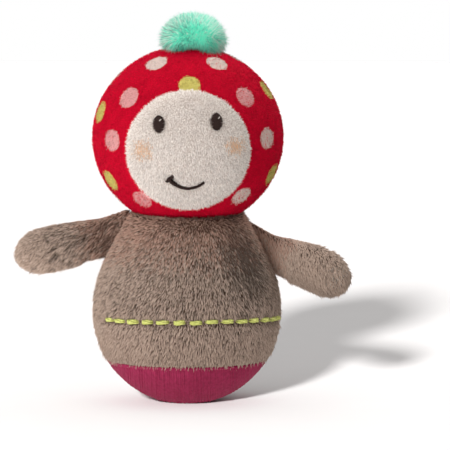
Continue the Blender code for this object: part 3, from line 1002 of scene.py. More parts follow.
@dataclass(frozen=True)
class VelourFinish(Finish):
    """Short velour with a print that the skin's attribute dye lays out."""

    prints: tuple[Colour, Colour, Colour]

    def material(self) -> Material:
        """Makes brushed nap and printed spots with fuzzy rims.

        Returns:
            The material.
        """
        shader = Shader(self.name)
        place = shader.place()
        nap, brushed = shader.noise(place, 2400.0, 3.0), shader.noise(place, 320.0, 4.0)
        colour = self.shades(shader, 0.9 * brushed + 0.5 * nap - 0.2)
        grain = (nap - 0.5) * 0.9
        for shown, spot in zip(shader.axes(shader.attribute("dye", "Vector")), self.prints):
            mask = ((shown - 0.5 + grain) * 4.0 + 0.5).held()
            colour = shader.mix(mask, colour, shader.scaled(spot, 0.72 + 0.5 * nap))
        return self.dressed(shader, colour, 0.75 + 0.25 * nap, shader.bump(nap + brushed, 0.0003, 0.5), 0.08)


class ThreadFinish(Finish):
    """Embroidery thread with a soft gloss and fine fibres."""

    def material(self) -> Material:
        """Makes the fibres.

        Returns:
            The material.
        """
        shader = Shader(self.name)
        fibres = shader.noise(shader.vector("MULTIPLY", shader.place(), (900.0, 2600.0, 2600.0)), 1.0)
        colour = self.shades(shader, 1.6 * fibres - 0.3)
        return self.dressed(shader, colour, 0.6 + 0.25 * fibres, shader.bump(fibres, 0.0002, 0.5), 0.2)


class RibFinish(Finish):
    """Ribbed short-pile cloth."""

    def material(self) -> Material:
        """Makes streaks along the ribs and a fine nap.

        Returns:
            The material.
        """
        shader = Shader(self.name)
        place = shader.place()
        streak = shader.noise(shader.vector("MULTIPLY", place, (900.0, 900.0, 110.0)), 1.0, 3.0)
        nap = shader.noise(place, 2600.0)
        colour = self.shades(shader, 1.7 * streak + 0.5 * nap - 0.6)
        return self.dressed(shader, colour, 0.75 + 0.2 * nap, shader.bump(nap + streak, 0.0003, 0.7), 0.2)


class FibreFinish(Finish):
    """Curled polyester stuffing."""

    def material(self) -> Material:
        """Makes tangled strands.

        Returns:
            The material.
        """
        shader = Shader(self.name)
        tangle = shader.noise(shader.place(), 520.0, 5.0, curl=2.5)
        colour = self.shades(shader, 1.5 * tangle - 0.25)
        return self.dressed(shader, colour, 0.95, shader.bump(tangle, 0.0008, 0.8))


class CanvasFinish(Finish):
    """Plain-woven canvas."""

    def material(self) -> Material:
        """Makes warp and weft that cross.

        Returns:
            The material.
        """
        shader = Shader(self.name)
        x, y, z = shader.axes(shader.place())
        warp, weft = (x.maths("SINE", place * 7000.0) for place in (x, y + z))
        weave = (0.5 + 0.5 * warp * weft).held()
        return self.dressed(shader, self.shades(shader, weave), 0.9, shader.bump(weave, 0.0002, 0.6))


@dataclass(frozen=True)
class PlasticFinish(Finish):
    """Moulded plastic."""

    rough: float

    def material(self) -> Material:
        """Makes faint flow marks and a fine moulded grain.

        Returns:
            The material.
        """
        shader = Shader(self.name)
        place = shader.place()
        flow = shader.noise(place, 90.0, curl=1.5)
        grain = shader.noise(place, 3000.0, 1.0)
        colour = self.shades(shader, 1.4 * flow - 0.2)
        return self.dressed(shader, colour, self.rough + 0.15 * grain, shader.bump(grain, 0.00005, 0.4))


# Forms


@dataclass(frozen=True)
class BodyForm:
    """The body's surface, by turn from the front towards the toy's left and by height."""

    width: float = 0.0776
    depth: float = 0.0710
    widest: float = 0.0378
    foot: float = 0.0100
    neck: float = 0.0782
    neck_width: float = 0.0462
    neck_depth: float = 0.0430
    nod: float = math.radians(5)
    base_seam: float = 0.0160
    stitch_level: float = 0.0345
    stitch_arch: float = 0.0016
    stitch_start: float = math.radians(-61)
    stitch_pitch: float = math.radians(10.3)
    stitch_count: int = 14

    def half_sizes(self, height: Array) -> tuple[Array, Array]:
        """Half the width and depth at a height.

        Args:
            height: The height.

        Returns:
            Half the width, and half the depth.
        """
        reach = self.widest / math.sqrt(1 - (2 * self.foot / self.width) ** 2)
        low = np.sqrt(np.clip(1 - ((self.widest - height) / reach) ** 2, 0, 1))
        high = np.cos(np.pi / 2 * np.clip((height - self.widest) / (self.neck - self.widest), 0, 1.2))
        wide = self.neck_width + (self.width - self.neck_width) * high
        deep = self.neck_depth + (self.depth - self.neck_depth) * high
        under = height < self.widest
        return np.where(under, self.width * low, wide) / 2, np.where(under, self.depth * low, deep) / 2

    def point(self, turn: Array, level: Array) -> Array:
        """A point of the surface, whose rows fall towards the front under the nodding head.

        Args:
            turn: The turn from the front.
            level: The height of its row.

        Returns:
            The point.
        """
        lean = Ease(self.widest, self.neck - self.widest, math.tan(self.nod) * self.neck_depth / 2)
        height = level - lean.rising(level) * np.cos(turn)
        wide, deep = self.half_sizes(height)
        return np.stack([wide * np.sin(turn), -deep * np.cos(turn), height], -1)

    def stitch_height(self, turn: Array) -> Array:
        """The height of the line of stitches."""
        return self.stitch_level + self.stitch_arch * np.cos(turn)


@dataclass(frozen=True)
class HeadForm:
    """The head's surface, upright, and the nod that tips it forward."""

    width: float = 0.0786
    depth: float = 0.0690
    height: float = 0.0746
    offset: float = 0.0005
    neck: float = 0.0782
    neck_gap: float = 0.0003
    neck_width: float = 0.0462
    nod: float = math.radians(5)
    face_width: float = 0.0508
    face_height: float = 0.0496
    face_level: float = 0.1069

    @property
    def half(self) -> Array:
        """Half the width, depth and height."""
        return np.array([self.width, self.depth, self.height]) / 2

    @property
    def neck_rise(self) -> float:
        """The rise, below the middle, at which the neck cuts the head."""
        return -math.acos(self.neck_width / self.width)

    @property
    def centre(self) -> Array:
        """The middle of the head."""
        level = self.neck + self.neck_gap - self.height / 2 * math.sin(self.neck_rise)
        return np.array([self.offset, 0.0, level])

    def point(self, turn: Values, rise: Values) -> Array:
        """A point of the surface, by turn from the front to the toy's left and by rise over the middle."""
        across = [np.sin(turn) * np.cos(rise), -np.cos(turn) * np.cos(rise), np.sin(rise) + 0 * turn]
        return self.centre + np.stack(across, -1) * self.half

    def front(self, across: Values, up: Values, proud: float = 0.0) -> Array:
        """The point over a place on the face.

        Args:
            across: How far the place lies to the toy's left of the face's middle.
            up: How far it lies above it.
            proud: How far the point stands proud of the head.

        Returns:
            The point.
        """
        side, level = np.asarray(across) + self.offset, np.asarray(up) + self.face_level
        wide, tall = np.asarray(across) / self.half[0], (level - self.centre[2]) / self.half[2]
        deep = -self.half[1] * np.sqrt(np.clip(1 - wide**2 - tall**2, 0, 1)) - proud
        return np.stack([side, deep, level], -1)

    def on_face(self, places: Array) -> tuple[Array, Array]:
        """Where upright places lie from the face's middle: across, and up."""
        return places[:, 0] - self.offset, places[:, 2] - self.face_level

    def shares(self, places: Array, shift: float = 0.0) -> tuple[Array, Array]:
        """Where upright places lie on the face, shifted or not, as shares of its half sizes."""
        across, up = self.on_face(places)
        return (across - shift) / (self.face_width / 2), up / (self.face_height / 2)

    def tipped(self, places: Array, directions: bool = False) -> Array:
        """Turns places by the nod, or directions, which don't move."""
        pivot = np.zeros(3) if directions else np.array([self.offset, 0.0, self.neck])
        return (places - pivot) @ turning(self.nod, 1, 2).T + pivot


@dataclass
class Tools:
    """The node groups that the pieces share."""

    pile: PileTree = field(default_factory=PileTree)
    stitches: StitchTree = field(default_factory=StitchTree)
    ribs: RibTree = field(default_factory=RibTree)


# Body

PLUSH = Pile(
    24000, 0.0025, 0.00038, lift=0.5, spread=0.14, clump=0.005, pull=0.6, mottle=0.6, kinds=2, seed=11,
    softness=0.45, lock=0.0010, parting=0.8,
)
# The second dye, a warmer taupe near the neck and the arm roots, is a painted red reflection of the hood. The
# dark root is painted shade deep in the pile.
TAUPE_PILE = PileFinish(
    "taupe_pile", (dye(204, 181, 164), dye(202, 163, 144)), root=dye(84, 60, 48), cover=0.9, spread=0.75,
    sheen=0.15,
)
TAUPE_BACKING = BackingFinish("taupe_backing", dye(104, 80, 68), dye(74, 56, 48))


@dataclass
class Body:
    """The pear-shaped body: a stuffed skin under long pile, drawn in along a line of stitches."""

    tools: Tools
    form: BodyForm = BodyForm()
    pile: Pile = PLUSH
    stuffing: Stuffing = Stuffing(2600.0)
    depth: float = 0.0013
    lowest: float = 0.0024
    top_gap: float = 0.0026
    steps: int = 84
    rows: int = 46
    first_row: float = 0.08
    held_top: float = 0.005
    held_seam: float = 0.0012
    channel: float = 0.0011
    channel_width: float = 0.0062
    channel_end: float = math.radians(9)
    seam: float = 0.0006
    seam_width: float = 0.0016
    seam_start: float = 0.015
    parted_at: float = math.radians(25)
    drift: Pair = (0.62, 0.35)
    pressed: float = 0.62
    pressed_rise: float = 0.0006
    pressed_width: float = 0.0026
    rooted: Ease = Ease(0.0005, 0.0008)
    shorter_foot: Ease = Ease(0.001, 0.003, 0.4)
    longer_below: Ease = Ease(0.022, 0.012, 0.15)
    upright_neck: Ease = Ease(0.0695, 0.006, 0.85)
    shorter_neck: Ease = Ease(0.0700, 0.006, 0.25)
    # Painted red reflection of the hood, towards the neck.
    painted_red_reflection: Ease = Ease(0.046, 0.030, 0.85)
    # Painted light low down, lighter on the toy's right, and painted shade beside the left arm.
    painted_light_below: Ease = Ease(0.026, 0.016)
    lighter: Pair = (0.3, 0.15)
    painted_shade: float = 0.9
    painted_shade_at: Pair = (math.radians(50), 0.060)
    painted_shade_size: Pair = (math.radians(20), 0.013)

    def build(self) -> None:
        """Makes the stuffed skin and grows its pile."""
        form = self.form
        rows = self.first_row + (1 - self.first_row) * np.linspace(0, 1, self.rows)
        levels = self.lowest + (form.neck - self.top_gap) * (0.5 - 0.5 * np.cos(np.pi * rows))
        turn, level = np.meshgrid(around(self.steps, -np.pi), levels)
        rings = inset(form.point, turn, level, self.depth)
        skin = ringed("body_skin", rings, rings[0].mean(0), rings[-1].mean(0))
        _, deep, height = places_of(skin.data).T
        ends = (height > form.neck - self.held_top) | (np.abs(height - form.base_seam) < self.held_seam)
        self.stuffing.fill(skin, (np.abs(deep) < self.seam_width) | ends)
        self.draw_in(skin.data)
        self.comb(skin.data)
        self.dress(skin)

    def from_line(self, turn: Array, height: Array) -> tuple[Array, Array]:
        """Compares places with the line of stitches.

        Args:
            turn: Their turns from the front.
            height: Their heights.

        Returns:
            How far they lie above the line, and how much of the line is there.
        """
        form = self.form
        end = form.stitch_start + form.stitch_count * form.stitch_pitch
        outside = np.maximum(np.maximum(form.stitch_start - turn, turn - end), 0)
        return height - form.stitch_height(turn), 1 - smooth(outside / self.channel_end)

    def draw_in(self, mesh: Mesh) -> None:
        """Sinks the skin along the stitches and the side seams.

        Args:
            mesh: The skin's mesh.
        """
        places, normals = places_of(mesh), places_of(mesh, "normal")
        side, deep, height = places.T
        over, share = self.from_line(np.arctan2(side, -deep), height)
        across = np.clip(np.abs(over) / (self.channel_width / 2), 0, 1)
        depth = self.channel * share * np.cos(np.pi / 2 * across) ** 2
        depth += self.seam * bell(deep, self.seam_width) * (np.abs(side) > self.seam_start)
        put_places(mesh, places - normals * depth[:, None])

    def comb(self, mesh: Mesh) -> None:
        """Combs the pile down and away from the front, and shortens it along the stitches.

        Args:
            mesh: The skin's mesh.
        """
        side, deep, height = places_of(mesh).T
        normals, turn = places_of(mesh, "normal"), np.arctan2(side, -deep)
        down = tangent(DOWN, normals)
        parted = turn - self.parted_at
        drift = np.where(parted < 0, *self.drift) * np.sin(parted) * (np.abs(turn) < np.pi / 2)
        comb = tangent(down - unit(np.cross(down, normals)) * drift[:, None], normals)
        over, share = self.from_line(turn, height)
        close = np.clip(1 - np.abs(over - self.pressed_rise) / self.pressed_width, 0, 1)
        above = height - self.form.base_seam
        pile = 1 - self.pressed * smooth(close * share)
        pile *= self.rooted.rising(above) * (1 - self.shorter_foot.falling(above))
        pile *= 1 - self.shorter_neck.rising(height)
        pile *= 1 + self.longer_below.falling(height)
        stand = 1 - self.upright_neck.rising(height)
        # Painted light and shade: the pile is painted lighter low down, more so on the toy's right, and
        # darker beside the left arm, where shade falls.
        tone = (self.lighter[0] - self.lighter[1] * np.sin(turn)) * self.painted_light_below.falling(height)
        (middle, level), (wide, tall) = self.painted_shade_at, self.painted_shade_size
        tone -= self.painted_shade * bell(turn - middle, wide) * bell(height - level, tall)
        # The dye carries the painted red reflection of the hood towards the neck.
        planted(mesh, comb * stand[:, None], pile, self.painted_red_reflection.rising(height), tone)

    def dress(self, skin: Object) -> None:
        """Grows the pile on four panels and fixes all to the torso.

        Args:
            skin: The skin.
        """
        skin.data.materials.append(TAUPE_BACKING.material())
        side, deep, _ = places_of(skin.data).T
        parts = {}
        for name, half in (("front", deep < 0), ("back", deep >= 0)):
            parts[f"body_pile_{name}_left"] = half & (side > 0)
            parts[f"body_pile_{name}_right"] = half & (side <= 0)
        for piece in self.pile.grow(self.tools.pile, skin, TAUPE_PILE.material(), parts):
            seat(piece, "torso", "body_plush")
        seat(skin, "torso", "body_plush", "body_front", "body_back", fill=0.9)


@dataclass
class RunningStitch:
    """The line of stitches across the body, laid a little unevenly."""

    tools: Tools
    form: BodyForm = BodyForm()
    thread: Thread = Thread(plies=3, sides=7, twist=1.2, dive=0.9, blunt=2.6)
    yarn: ThreadFinish = ThreadFinish("lime_yarn", dye(234, 238, 144), dye(140, 144, 58))
    width: float = 0.0019
    length: float = 0.0057
    depth: float = 0.0006
    end: float = 0.3
    end_depth: float = 0.0009
    inside: float = 0.01
    shift: float = 0.06
    rise: float = 0.00025
    tilt: float = 0.07
    widths: Pair = (0.9, 1.1)
    lengths: Pair = (0.92, 1.06)

    def on_line(self, turn: float, depth: float) -> Array:
        """A point of the line, inside the body's surface."""
        return inset(self.form.point, np.array(turn), self.form.stitch_height(turn), depth)

    def build(self) -> None:
        """Lays the stitches and fixes them to the torso."""
        form = self.form
        chance = np.random.default_rng(5)
        stitches = []
        for number in range(form.stitch_count):
            step = number + 0.5 + chance.uniform(-self.shift, self.shift)
            turn, reach = form.stitch_start + step * form.stitch_pitch, form.stitch_pitch * self.end
            first, last = (self.on_line(turn + way * reach, self.end_depth) for way in (-1, 1))
            middle = self.on_line(turn, self.depth)
            middle[2] += chance.uniform(-self.rise, self.rise)
            out = unit(middle - self.on_line(turn, self.inside))
            along = unit(unit(last - first) + [0, 0, chance.uniform(-self.tilt, self.tilt)])
            wide = self.width * chance.uniform(*self.widths)
            long = self.length * chance.uniform(*self.lengths)
            stitches.append((middle, along, out, (wide, wide, long)))
        piece = self.tools.stitches.sewn("waist_stitches", self.thread, stitches, self.yarn.material())
        seat(piece, "torso", "lime_thread", "waist_thread")


@dataclass
class Base:
    """The ribbed bowl under the body."""

    tools: Tools
    form: BodyForm = BodyForm()
    finish: RibFinish = RibFinish("raspberry_rib", dye(160, 42, 82), dye(126, 26, 58))
    depth: float = 0.0001
    cover: float = 0.0012
    lowest: float = 0.0001
    tucked: float = 0.0012
    floors: Pair = (0.0004, 0.0010)
    steps: int = 96
    rows: int = 16
    pitch: float = 0.00125
    rib: float = 0.0010
    rib_depth: float = 0.0003
    rib_steps: int = 26
    rise: Pair = (-0.00008, 0.00016)
    uneven: float = 0.2
    seam_gap: float = 0.0002
    widest: float = 0.995

    def build(self) -> None:
        """Makes the bowl's cloth with its thickness, and lays the ribs on it."""
        form = self.form
        levels = np.linspace(self.lowest, form.base_seam + self.tucked, self.rows)
        turn, level = np.meshgrid(around(self.steps, -np.pi), levels)
        shells = []
        for depth, floor in zip((self.depth, self.cover), self.floors):
            shell = inset(form.point, turn, level, depth)
            shell[..., 2] = np.maximum(shell[..., 2], floor)
            shells.append(shell)
        foot = np.array([0, 0, shells[0][0, 0, 2]])
        thick = [0, 0, self.floors[1] - self.floors[0]]
        cloth = ringed("base_cloth", np.vstack([shells[0], shells[1][::-1]]), foot, foot + thick)
        finish = self.finish.material()
        cloth.data.materials.append(finish)
        lines = self.lines()
        ribs = self.tools.ribs.made(lines, "base_ribs", {"Width": self.rib, "Material": finish})
        bpy.data.meshes.remove(lines.data)
        seat(ribs, "torso", "base_cloth")
        seat(cloth, "torso", "base_cloth", "base_panel", fill=0.9)

    def lines(self) -> Object:
        """Lays the ribs side by side, from the front seam under the foot to the back one.

        Returns:
            Their lines.
        """
        form = self.form
        chance = np.random.default_rng(8)
        top = form.base_seam - self.seam_gap
        wide = float(form.half_sizes(np.array(top))[0])
        count = int(wide * math.pi / self.pitch)
        turns = np.linspace(-np.pi / 2, np.pi / 2, count + 2)[1:-1]
        offsets = wide * np.sin(turns) + chance.normal(0, self.uneven, count) * self.pitch * np.cos(turns)
        levels = np.linspace(top, self.lowest / 2, self.rib_steps)
        wides = form.half_sizes(levels)[0]
        places, edges, start = [], [], 0
        for offset in offsets:
            kept = np.abs(offset) < wides * self.widest
            depth = self.depth + self.rib_depth + chance.uniform(*self.rise)
            front = inset(form.point, np.arcsin(offset / wides[kept]), levels[kept], depth)
            row = np.vstack([front, (front * [1, -1, 1])[::-1]])
            row[:, 2] = np.maximum(row[:, 2], self.rib / 2)
            places.append(row)
            edges += [(i, i + 1) for i in range(start, start + len(row) - 1)]
            start += len(row)
        return linked(mesh_from("rib_lines", np.vstack(places), [], edges))


# Head


@dataclass
class Hood:
    """The stuffed head under red velour with printed spots.

    A spot has a kind, its turn and rise in degrees, and how full its print is, which is less on the toy's
    left as painted shade.
    A row of spots behind has a rise, its first and last turn, and a count.
    """

    tools: Tools
    form: HeadForm = HeadForm()
    nap: Pile = Pile(
        30000, 0.0010, 0.00026, lift=0.8, spread=0.8, clump=0.006, pull=0.8, mottle=1.2, kinds=4, seed=23
    )
    stuffing: Stuffing = Stuffing(600.0, 0.0005)
    prints: tuple[Colour, Colour, Colour] = (dye(226, 206, 196), dye(224, 162, 160), dye(208, 196, 108))
    depth: float = 0.0007
    steps: int = 110
    rows: int = 44
    top: float = math.radians(88.4)
    under: float = 0.09
    fall: float = 0.0016
    held_side: float = 0.0012
    held_to: float = 0.135
    held_edge: float = 0.05
    held_neck: float = 0.001
    sunk_face: Ease = Ease(0.93, 0.08, 0.0010)
    bare_face: Ease = Ease(0.99, 0.03)
    seam: float = 0.0005
    seam_width: float = 0.0011
    seam_start: float = 0.008
    seam_short: float = 0.6
    combed: float = 0.4
    combed_down: float = 0.05
    spot: float = 0.0046
    spot_rim: float = 0.0012
    # The pale and pink spots on the toy's left are printed less full, so that the red shows through as
    # painted shade.
    spots: tuple[tuple[Spot, float, float, float], ...] = (
        (Spot.PALE, -40.1, 60.0, 1.0), (Spot.PALE, 38.0, 60.2, 0.78), (Spot.YELLOW, 2.0, 41.2, 0.85),
        (Spot.PINK, -44.5, 30.9, 0.9), (Spot.PINK, 44.8, 31.4, 0.7), (Spot.YELLOW, -73.5, 18.2, 0.9),
        (Spot.YELLOW, 80.0, 33.0, 0.9), (Spot.PINK, -51.3, 2.4, 0.8), (Spot.PALE, 56.2, 3.2, 0.7),
        (Spot.YELLOW, -63.5, -25.8, 0.9), (Spot.YELLOW, 72.0, -21.9, 0.9), (Spot.PINK, -36.4, -37.5, 0.6),
        (Spot.PALE, 43.6, -35.4, 0.7), (Spot.PALE, -97.0, 41.0, 0.85), (Spot.PINK, -98.0, 1.0, 0.85),
    )
    behind: tuple[tuple[float, float, float, int], ...] = (
        (58.0, 110, 240, 3), (33.0, 114, 232, 4), (8.0, 100, 232, 5),
        (-18.0, 106, 268, 6), (-42.0, 92, 272, 6),
    )

    def all_spots(self) -> list[tuple[Spot, float, float, float]]:
        """Adds the rows behind to the spots.

        Returns:
            All spots.
        """
        found = list(self.spots)
        kinds = (Spot.PALE, Spot.YELLOW, Spot.PINK)
        for number, (rise, first, last, count) in enumerate(self.behind):
            for place, turn in enumerate(np.linspace(first, last, count)):
                found.append((kinds[(number + place) % 3], float(turn), rise, 0.85))
        return found

    def printed(self, upright: Array) -> Array:
        """Lays out the print.

        Args:
            upright: Places before the nod.

        Returns:
            How much of each kind of spot is at each place.
        """
        found = np.zeros((len(upright), 3))
        for kind, turn, rise, full in self.all_spots():
            apart = np.linalg.norm(upright - self.form.point(np.radians(turn), np.radians(rise)), axis=1)
            mask = Ease(self.spot - self.spot_rim / 2, self.spot_rim, full).falling(apart)
            found[:, kind.value - 1] = np.maximum(found[:, kind.value - 1], mask)
        return found

    def in_face(self, upright: Array) -> Array:
        """How far out upright places lie on the face: 1 on its seam, and 9 behind."""
        return np.where(upright[:, 1] < 0, np.hypot(*self.form.shares(upright)), 9.0)

    def build(self) -> None:
        """Makes the stuffed hood, sunk where the face is sewn in, and raises its nap."""
        form = self.form
        rises = np.linspace(form.neck_rise - self.under, self.top, self.rows)
        turn, rise = np.meshgrid(around(self.steps, -np.pi), rises)
        rings = inset(form.point, turn, rise, self.depth)
        low = np.array([form.offset, 0.0, form.neck - self.fall])
        rings[..., 2] = np.maximum(rings[..., 2], low[2])
        skin = ringed("hood_skin", rings, low, form.centre + [0, 0, form.half[2] - self.depth])
        places = places_of(skin.data)
        side = (np.abs(places[:, 1]) < self.held_side) & (places[:, 2] < self.held_to)
        edge = np.abs(self.in_face(places) - 1) < self.held_edge
        self.stuffing.fill(skin, side | edge | (places[:, 2] < form.neck + self.held_neck))
        upright, normals = places_of(skin.data), places_of(skin.data, "normal")
        face = self.in_face(upright)
        seam = bell(upright[:, 1], self.seam_width) * (np.abs(upright[:, 0] - form.offset) > self.seam_start)
        sunk = self.sunk_face.falling(face) + self.seam * seam
        put_places(skin.data, form.tipped(upright - normals * sunk[:, None]))
        way = upright - form.centre + DOWN * self.combed_down
        comb = tangent(way, places_of(skin.data, "normal")) * self.combed
        pile = self.bare_face.rising(face) * (1 - self.seam_short * seam)
        planted(skin.data, comb, pile, self.printed(upright))
        self.dress(skin)

    def dress(self, skin: Object) -> None:
        """Raises the nap, front and back, and fixes all to the head.

        Args:
            skin: The skin.
        """
        velour = VelourFinish("red_velour", dye(204, 6, 42), dye(160, 3, 30), self.prints)
        skin.data.materials.append(velour.material())
        dyes = (dye(222, 7, 50), *self.prints)
        # The darker root is painted shade deep in the nap.
        nap = PileFinish("red_nap", dyes, root=dye(178, 4, 36), spread=0.5, sheen=0.0, gloss=0.05)
        front = places_of(skin.data)[:, 1] < 0
        parts = {"hood_nap_front": front, "hood_nap_back": ~front}
        for piece in self.nap.grow(self.tools.pile, skin, nap.material(), parts):
            seat(piece, "head", "hood_velour")
        seat(skin, "head", "hood_velour", "hood_front", "hood_back", fill=0.9)


@dataclass(frozen=True)
class Eye:
    """An eye's side, its middle on the face and the place of its pale stitch."""

    side: Side
    middle: Pair
    glint: Pair


def refined(path: Sequence[Pair], count: int) -> Array:
    """Spaces points evenly along a line.

    Args:
        path: The line's corners.
        count: How many points there are.

    Returns:
        The points.
    """
    given = np.array(path)
    length = np.concatenate([[0], np.cumsum(np.linalg.norm(np.diff(given, axis=0), axis=1))])
    wanted = np.linspace(0, length[-1], count)
    return np.stack([np.interp(wanted, length, axis) for axis in given.T], 1)


@dataclass
class Embroidery:
    """The eyes and the mouth, with places as the face has them."""

    tools: Tools
    form: HeadForm = HeadForm()
    brown: ThreadFinish = ThreadFinish("brown_thread_satin", dye(48, 30, 25), dye(26, 14, 11))
    pale: ThreadFinish = ThreadFinish("pale_thread", dye(214, 206, 198), dye(170, 160, 152))
    satin: Thread = Thread(plies=1, sides=6, rings=9, twist=0, dive=1.1)
    floss: Thread = Thread(plies=2, sides=6, rings=9, twist=1.5, dive=0.6)
    stem: Thread = Thread(plies=2, sides=6, rings=9, twist=1.8, dive=0.5)
    eye_width: float = 0.0050
    eye_height: float = 0.0064
    eye_rows: int = 21
    eye_end: float = 0.97
    eye_lift: float = 0.0006
    eye_dome: float = 0.0005
    satin_width: float = 0.00046
    satin_shift: float = 0.00006
    satin_tilt: float = 0.05
    satin_over: Pair = (0.00024, 0.00056)
    glint_way: Pair = (0.55, 0.83)
    glint_lift: float = 0.00125
    glint_size: Pair = (0.00060, 0.0013)
    stem_lift: float = 0.00075
    stem_length: float = 0.0019
    stem_slant: float = 0.16
    smile_width: float = 0.00122
    smile_count: int = 18
    smile_heavy: float = 1.6
    smile_light: float = 0.75
    smile_fall: int = 9
    dimple_width: float = 0.00140
    dimple_count: int = 4
    eyes: tuple[Eye, ...] = (
        Eye(Side.LEFT, (0.01160, 0.01205), (0.01240, 0.01345)),
        Eye(Side.RIGHT, (-0.01100, 0.01120), (-0.01025, 0.01265)),
    )
    smile: tuple[Pair, ...] = (
        (-0.0069, -0.0107), (-0.0058, -0.0118), (-0.0043, -0.01286), (-0.0024, -0.01387),
        (0.0003, -0.01451), (0.0030, -0.01400), (0.0049, -0.01320), (0.0061, -0.01235),
    )
    dimple: tuple[Pair, ...] = ((-0.0077, -0.01130), (-0.0068, -0.0105), (-0.0060, -0.0098))

    def build(self) -> None:
        """Sews the eyes and the mouth."""
        brown, pale = self.brown.material(), self.pale.material()
        for eye in self.eyes:
            self.sew_eye(eye, brown, pale)
        self.sew_mouth(brown)

    def stitch(self, place: Pair, way: Pair, lift: float, wide: float, long: float) -> Stitch:
        """One stitch on the face.

        Args:
            place: Its place.
            way: Its direction.
            lift: How far it lies over the head's surface.
            wide: Its width.
            long: Its length.

        Returns:
            The stitch.
        """
        form = self.form
        spot = form.front(*place)
        out = unit((spot - form.centre) / form.half**2)
        along = np.array([way[0], 0.0, way[1]])
        along = unit(along - out * float(along @ out))
        along, out, spot = form.tipped(along, True), form.tipped(out, True), form.tipped(spot + out * lift)
        return spot, along, out, (wide, wide, long)

    def sew_eye(self, eye: Eye, brown: Material, pale: Material) -> None:
        """Fills an oval with satin stitch and sets one pale stitch on it.

        Args:
            eye: The eye.
            brown: The satin's thread.
            pale: The other thread.
        """
        name, sewn = f"{eye.side.name.lower()}_eye", self.tools.stitches.sewn
        satin = []
        chance = np.random.default_rng(40 + eye.side.value)
        for share in np.linspace(-self.eye_end, self.eye_end, self.eye_rows):
            chord = math.sqrt(1 - share**2)
            across = eye.middle[0] + chance.normal(0, self.satin_shift)
            long = self.eye_width * chord + chance.uniform(*self.satin_over)
            way = (1.0, chance.uniform(-self.satin_tilt, self.satin_tilt))
            place, lift = (across, eye.middle[1] + share * self.eye_height / 2), self.eye_dome * chord
            satin.append(self.stitch(place, way, self.eye_lift + lift, self.satin_width, long))
        seat(sewn(f"{name}_satin", self.satin, satin, brown), "head", "brown_thread", name)
        glint = self.stitch(eye.glint, self.glint_way, self.glint_lift, *self.glint_size)
        seat(sewn(f"{name}_glint", self.floss, [glint], pale), "head", "brown_thread")

    def sew_mouth(self, brown: Material) -> None:
        """Sews the smile in stem stitch, with a short heavy stroke at its right corner.

        Args:
            brown: The thread's material.
        """
        stitches = []
        lighter = self.smile_light * np.minimum(1.0, np.arange(self.smile_count) / self.smile_fall)
        smile = self.smile_width * (self.smile_heavy - lighter)
        dimple = np.full(self.dimple_count, self.dimple_width)
        for path, widths in ((self.smile, smile), (self.dimple, dimple)):
            points = refined(path, len(widths))
            for index, (point, wide) in enumerate(zip(points, widths)):
                x, z = points[min(index + 1, len(points) - 1)] - points[max(index - 1, 0)]
                way = (x - self.stem_slant * z, z + self.stem_slant * x)
                stitches.append(self.stitch(tuple(point), way, self.stem_lift, wide, self.stem_length))
        piece = self.tools.stitches.sewn("mouth_stitches", self.stem, stitches, brown)
        seat(piece, "head", "brown_thread", "mouth")


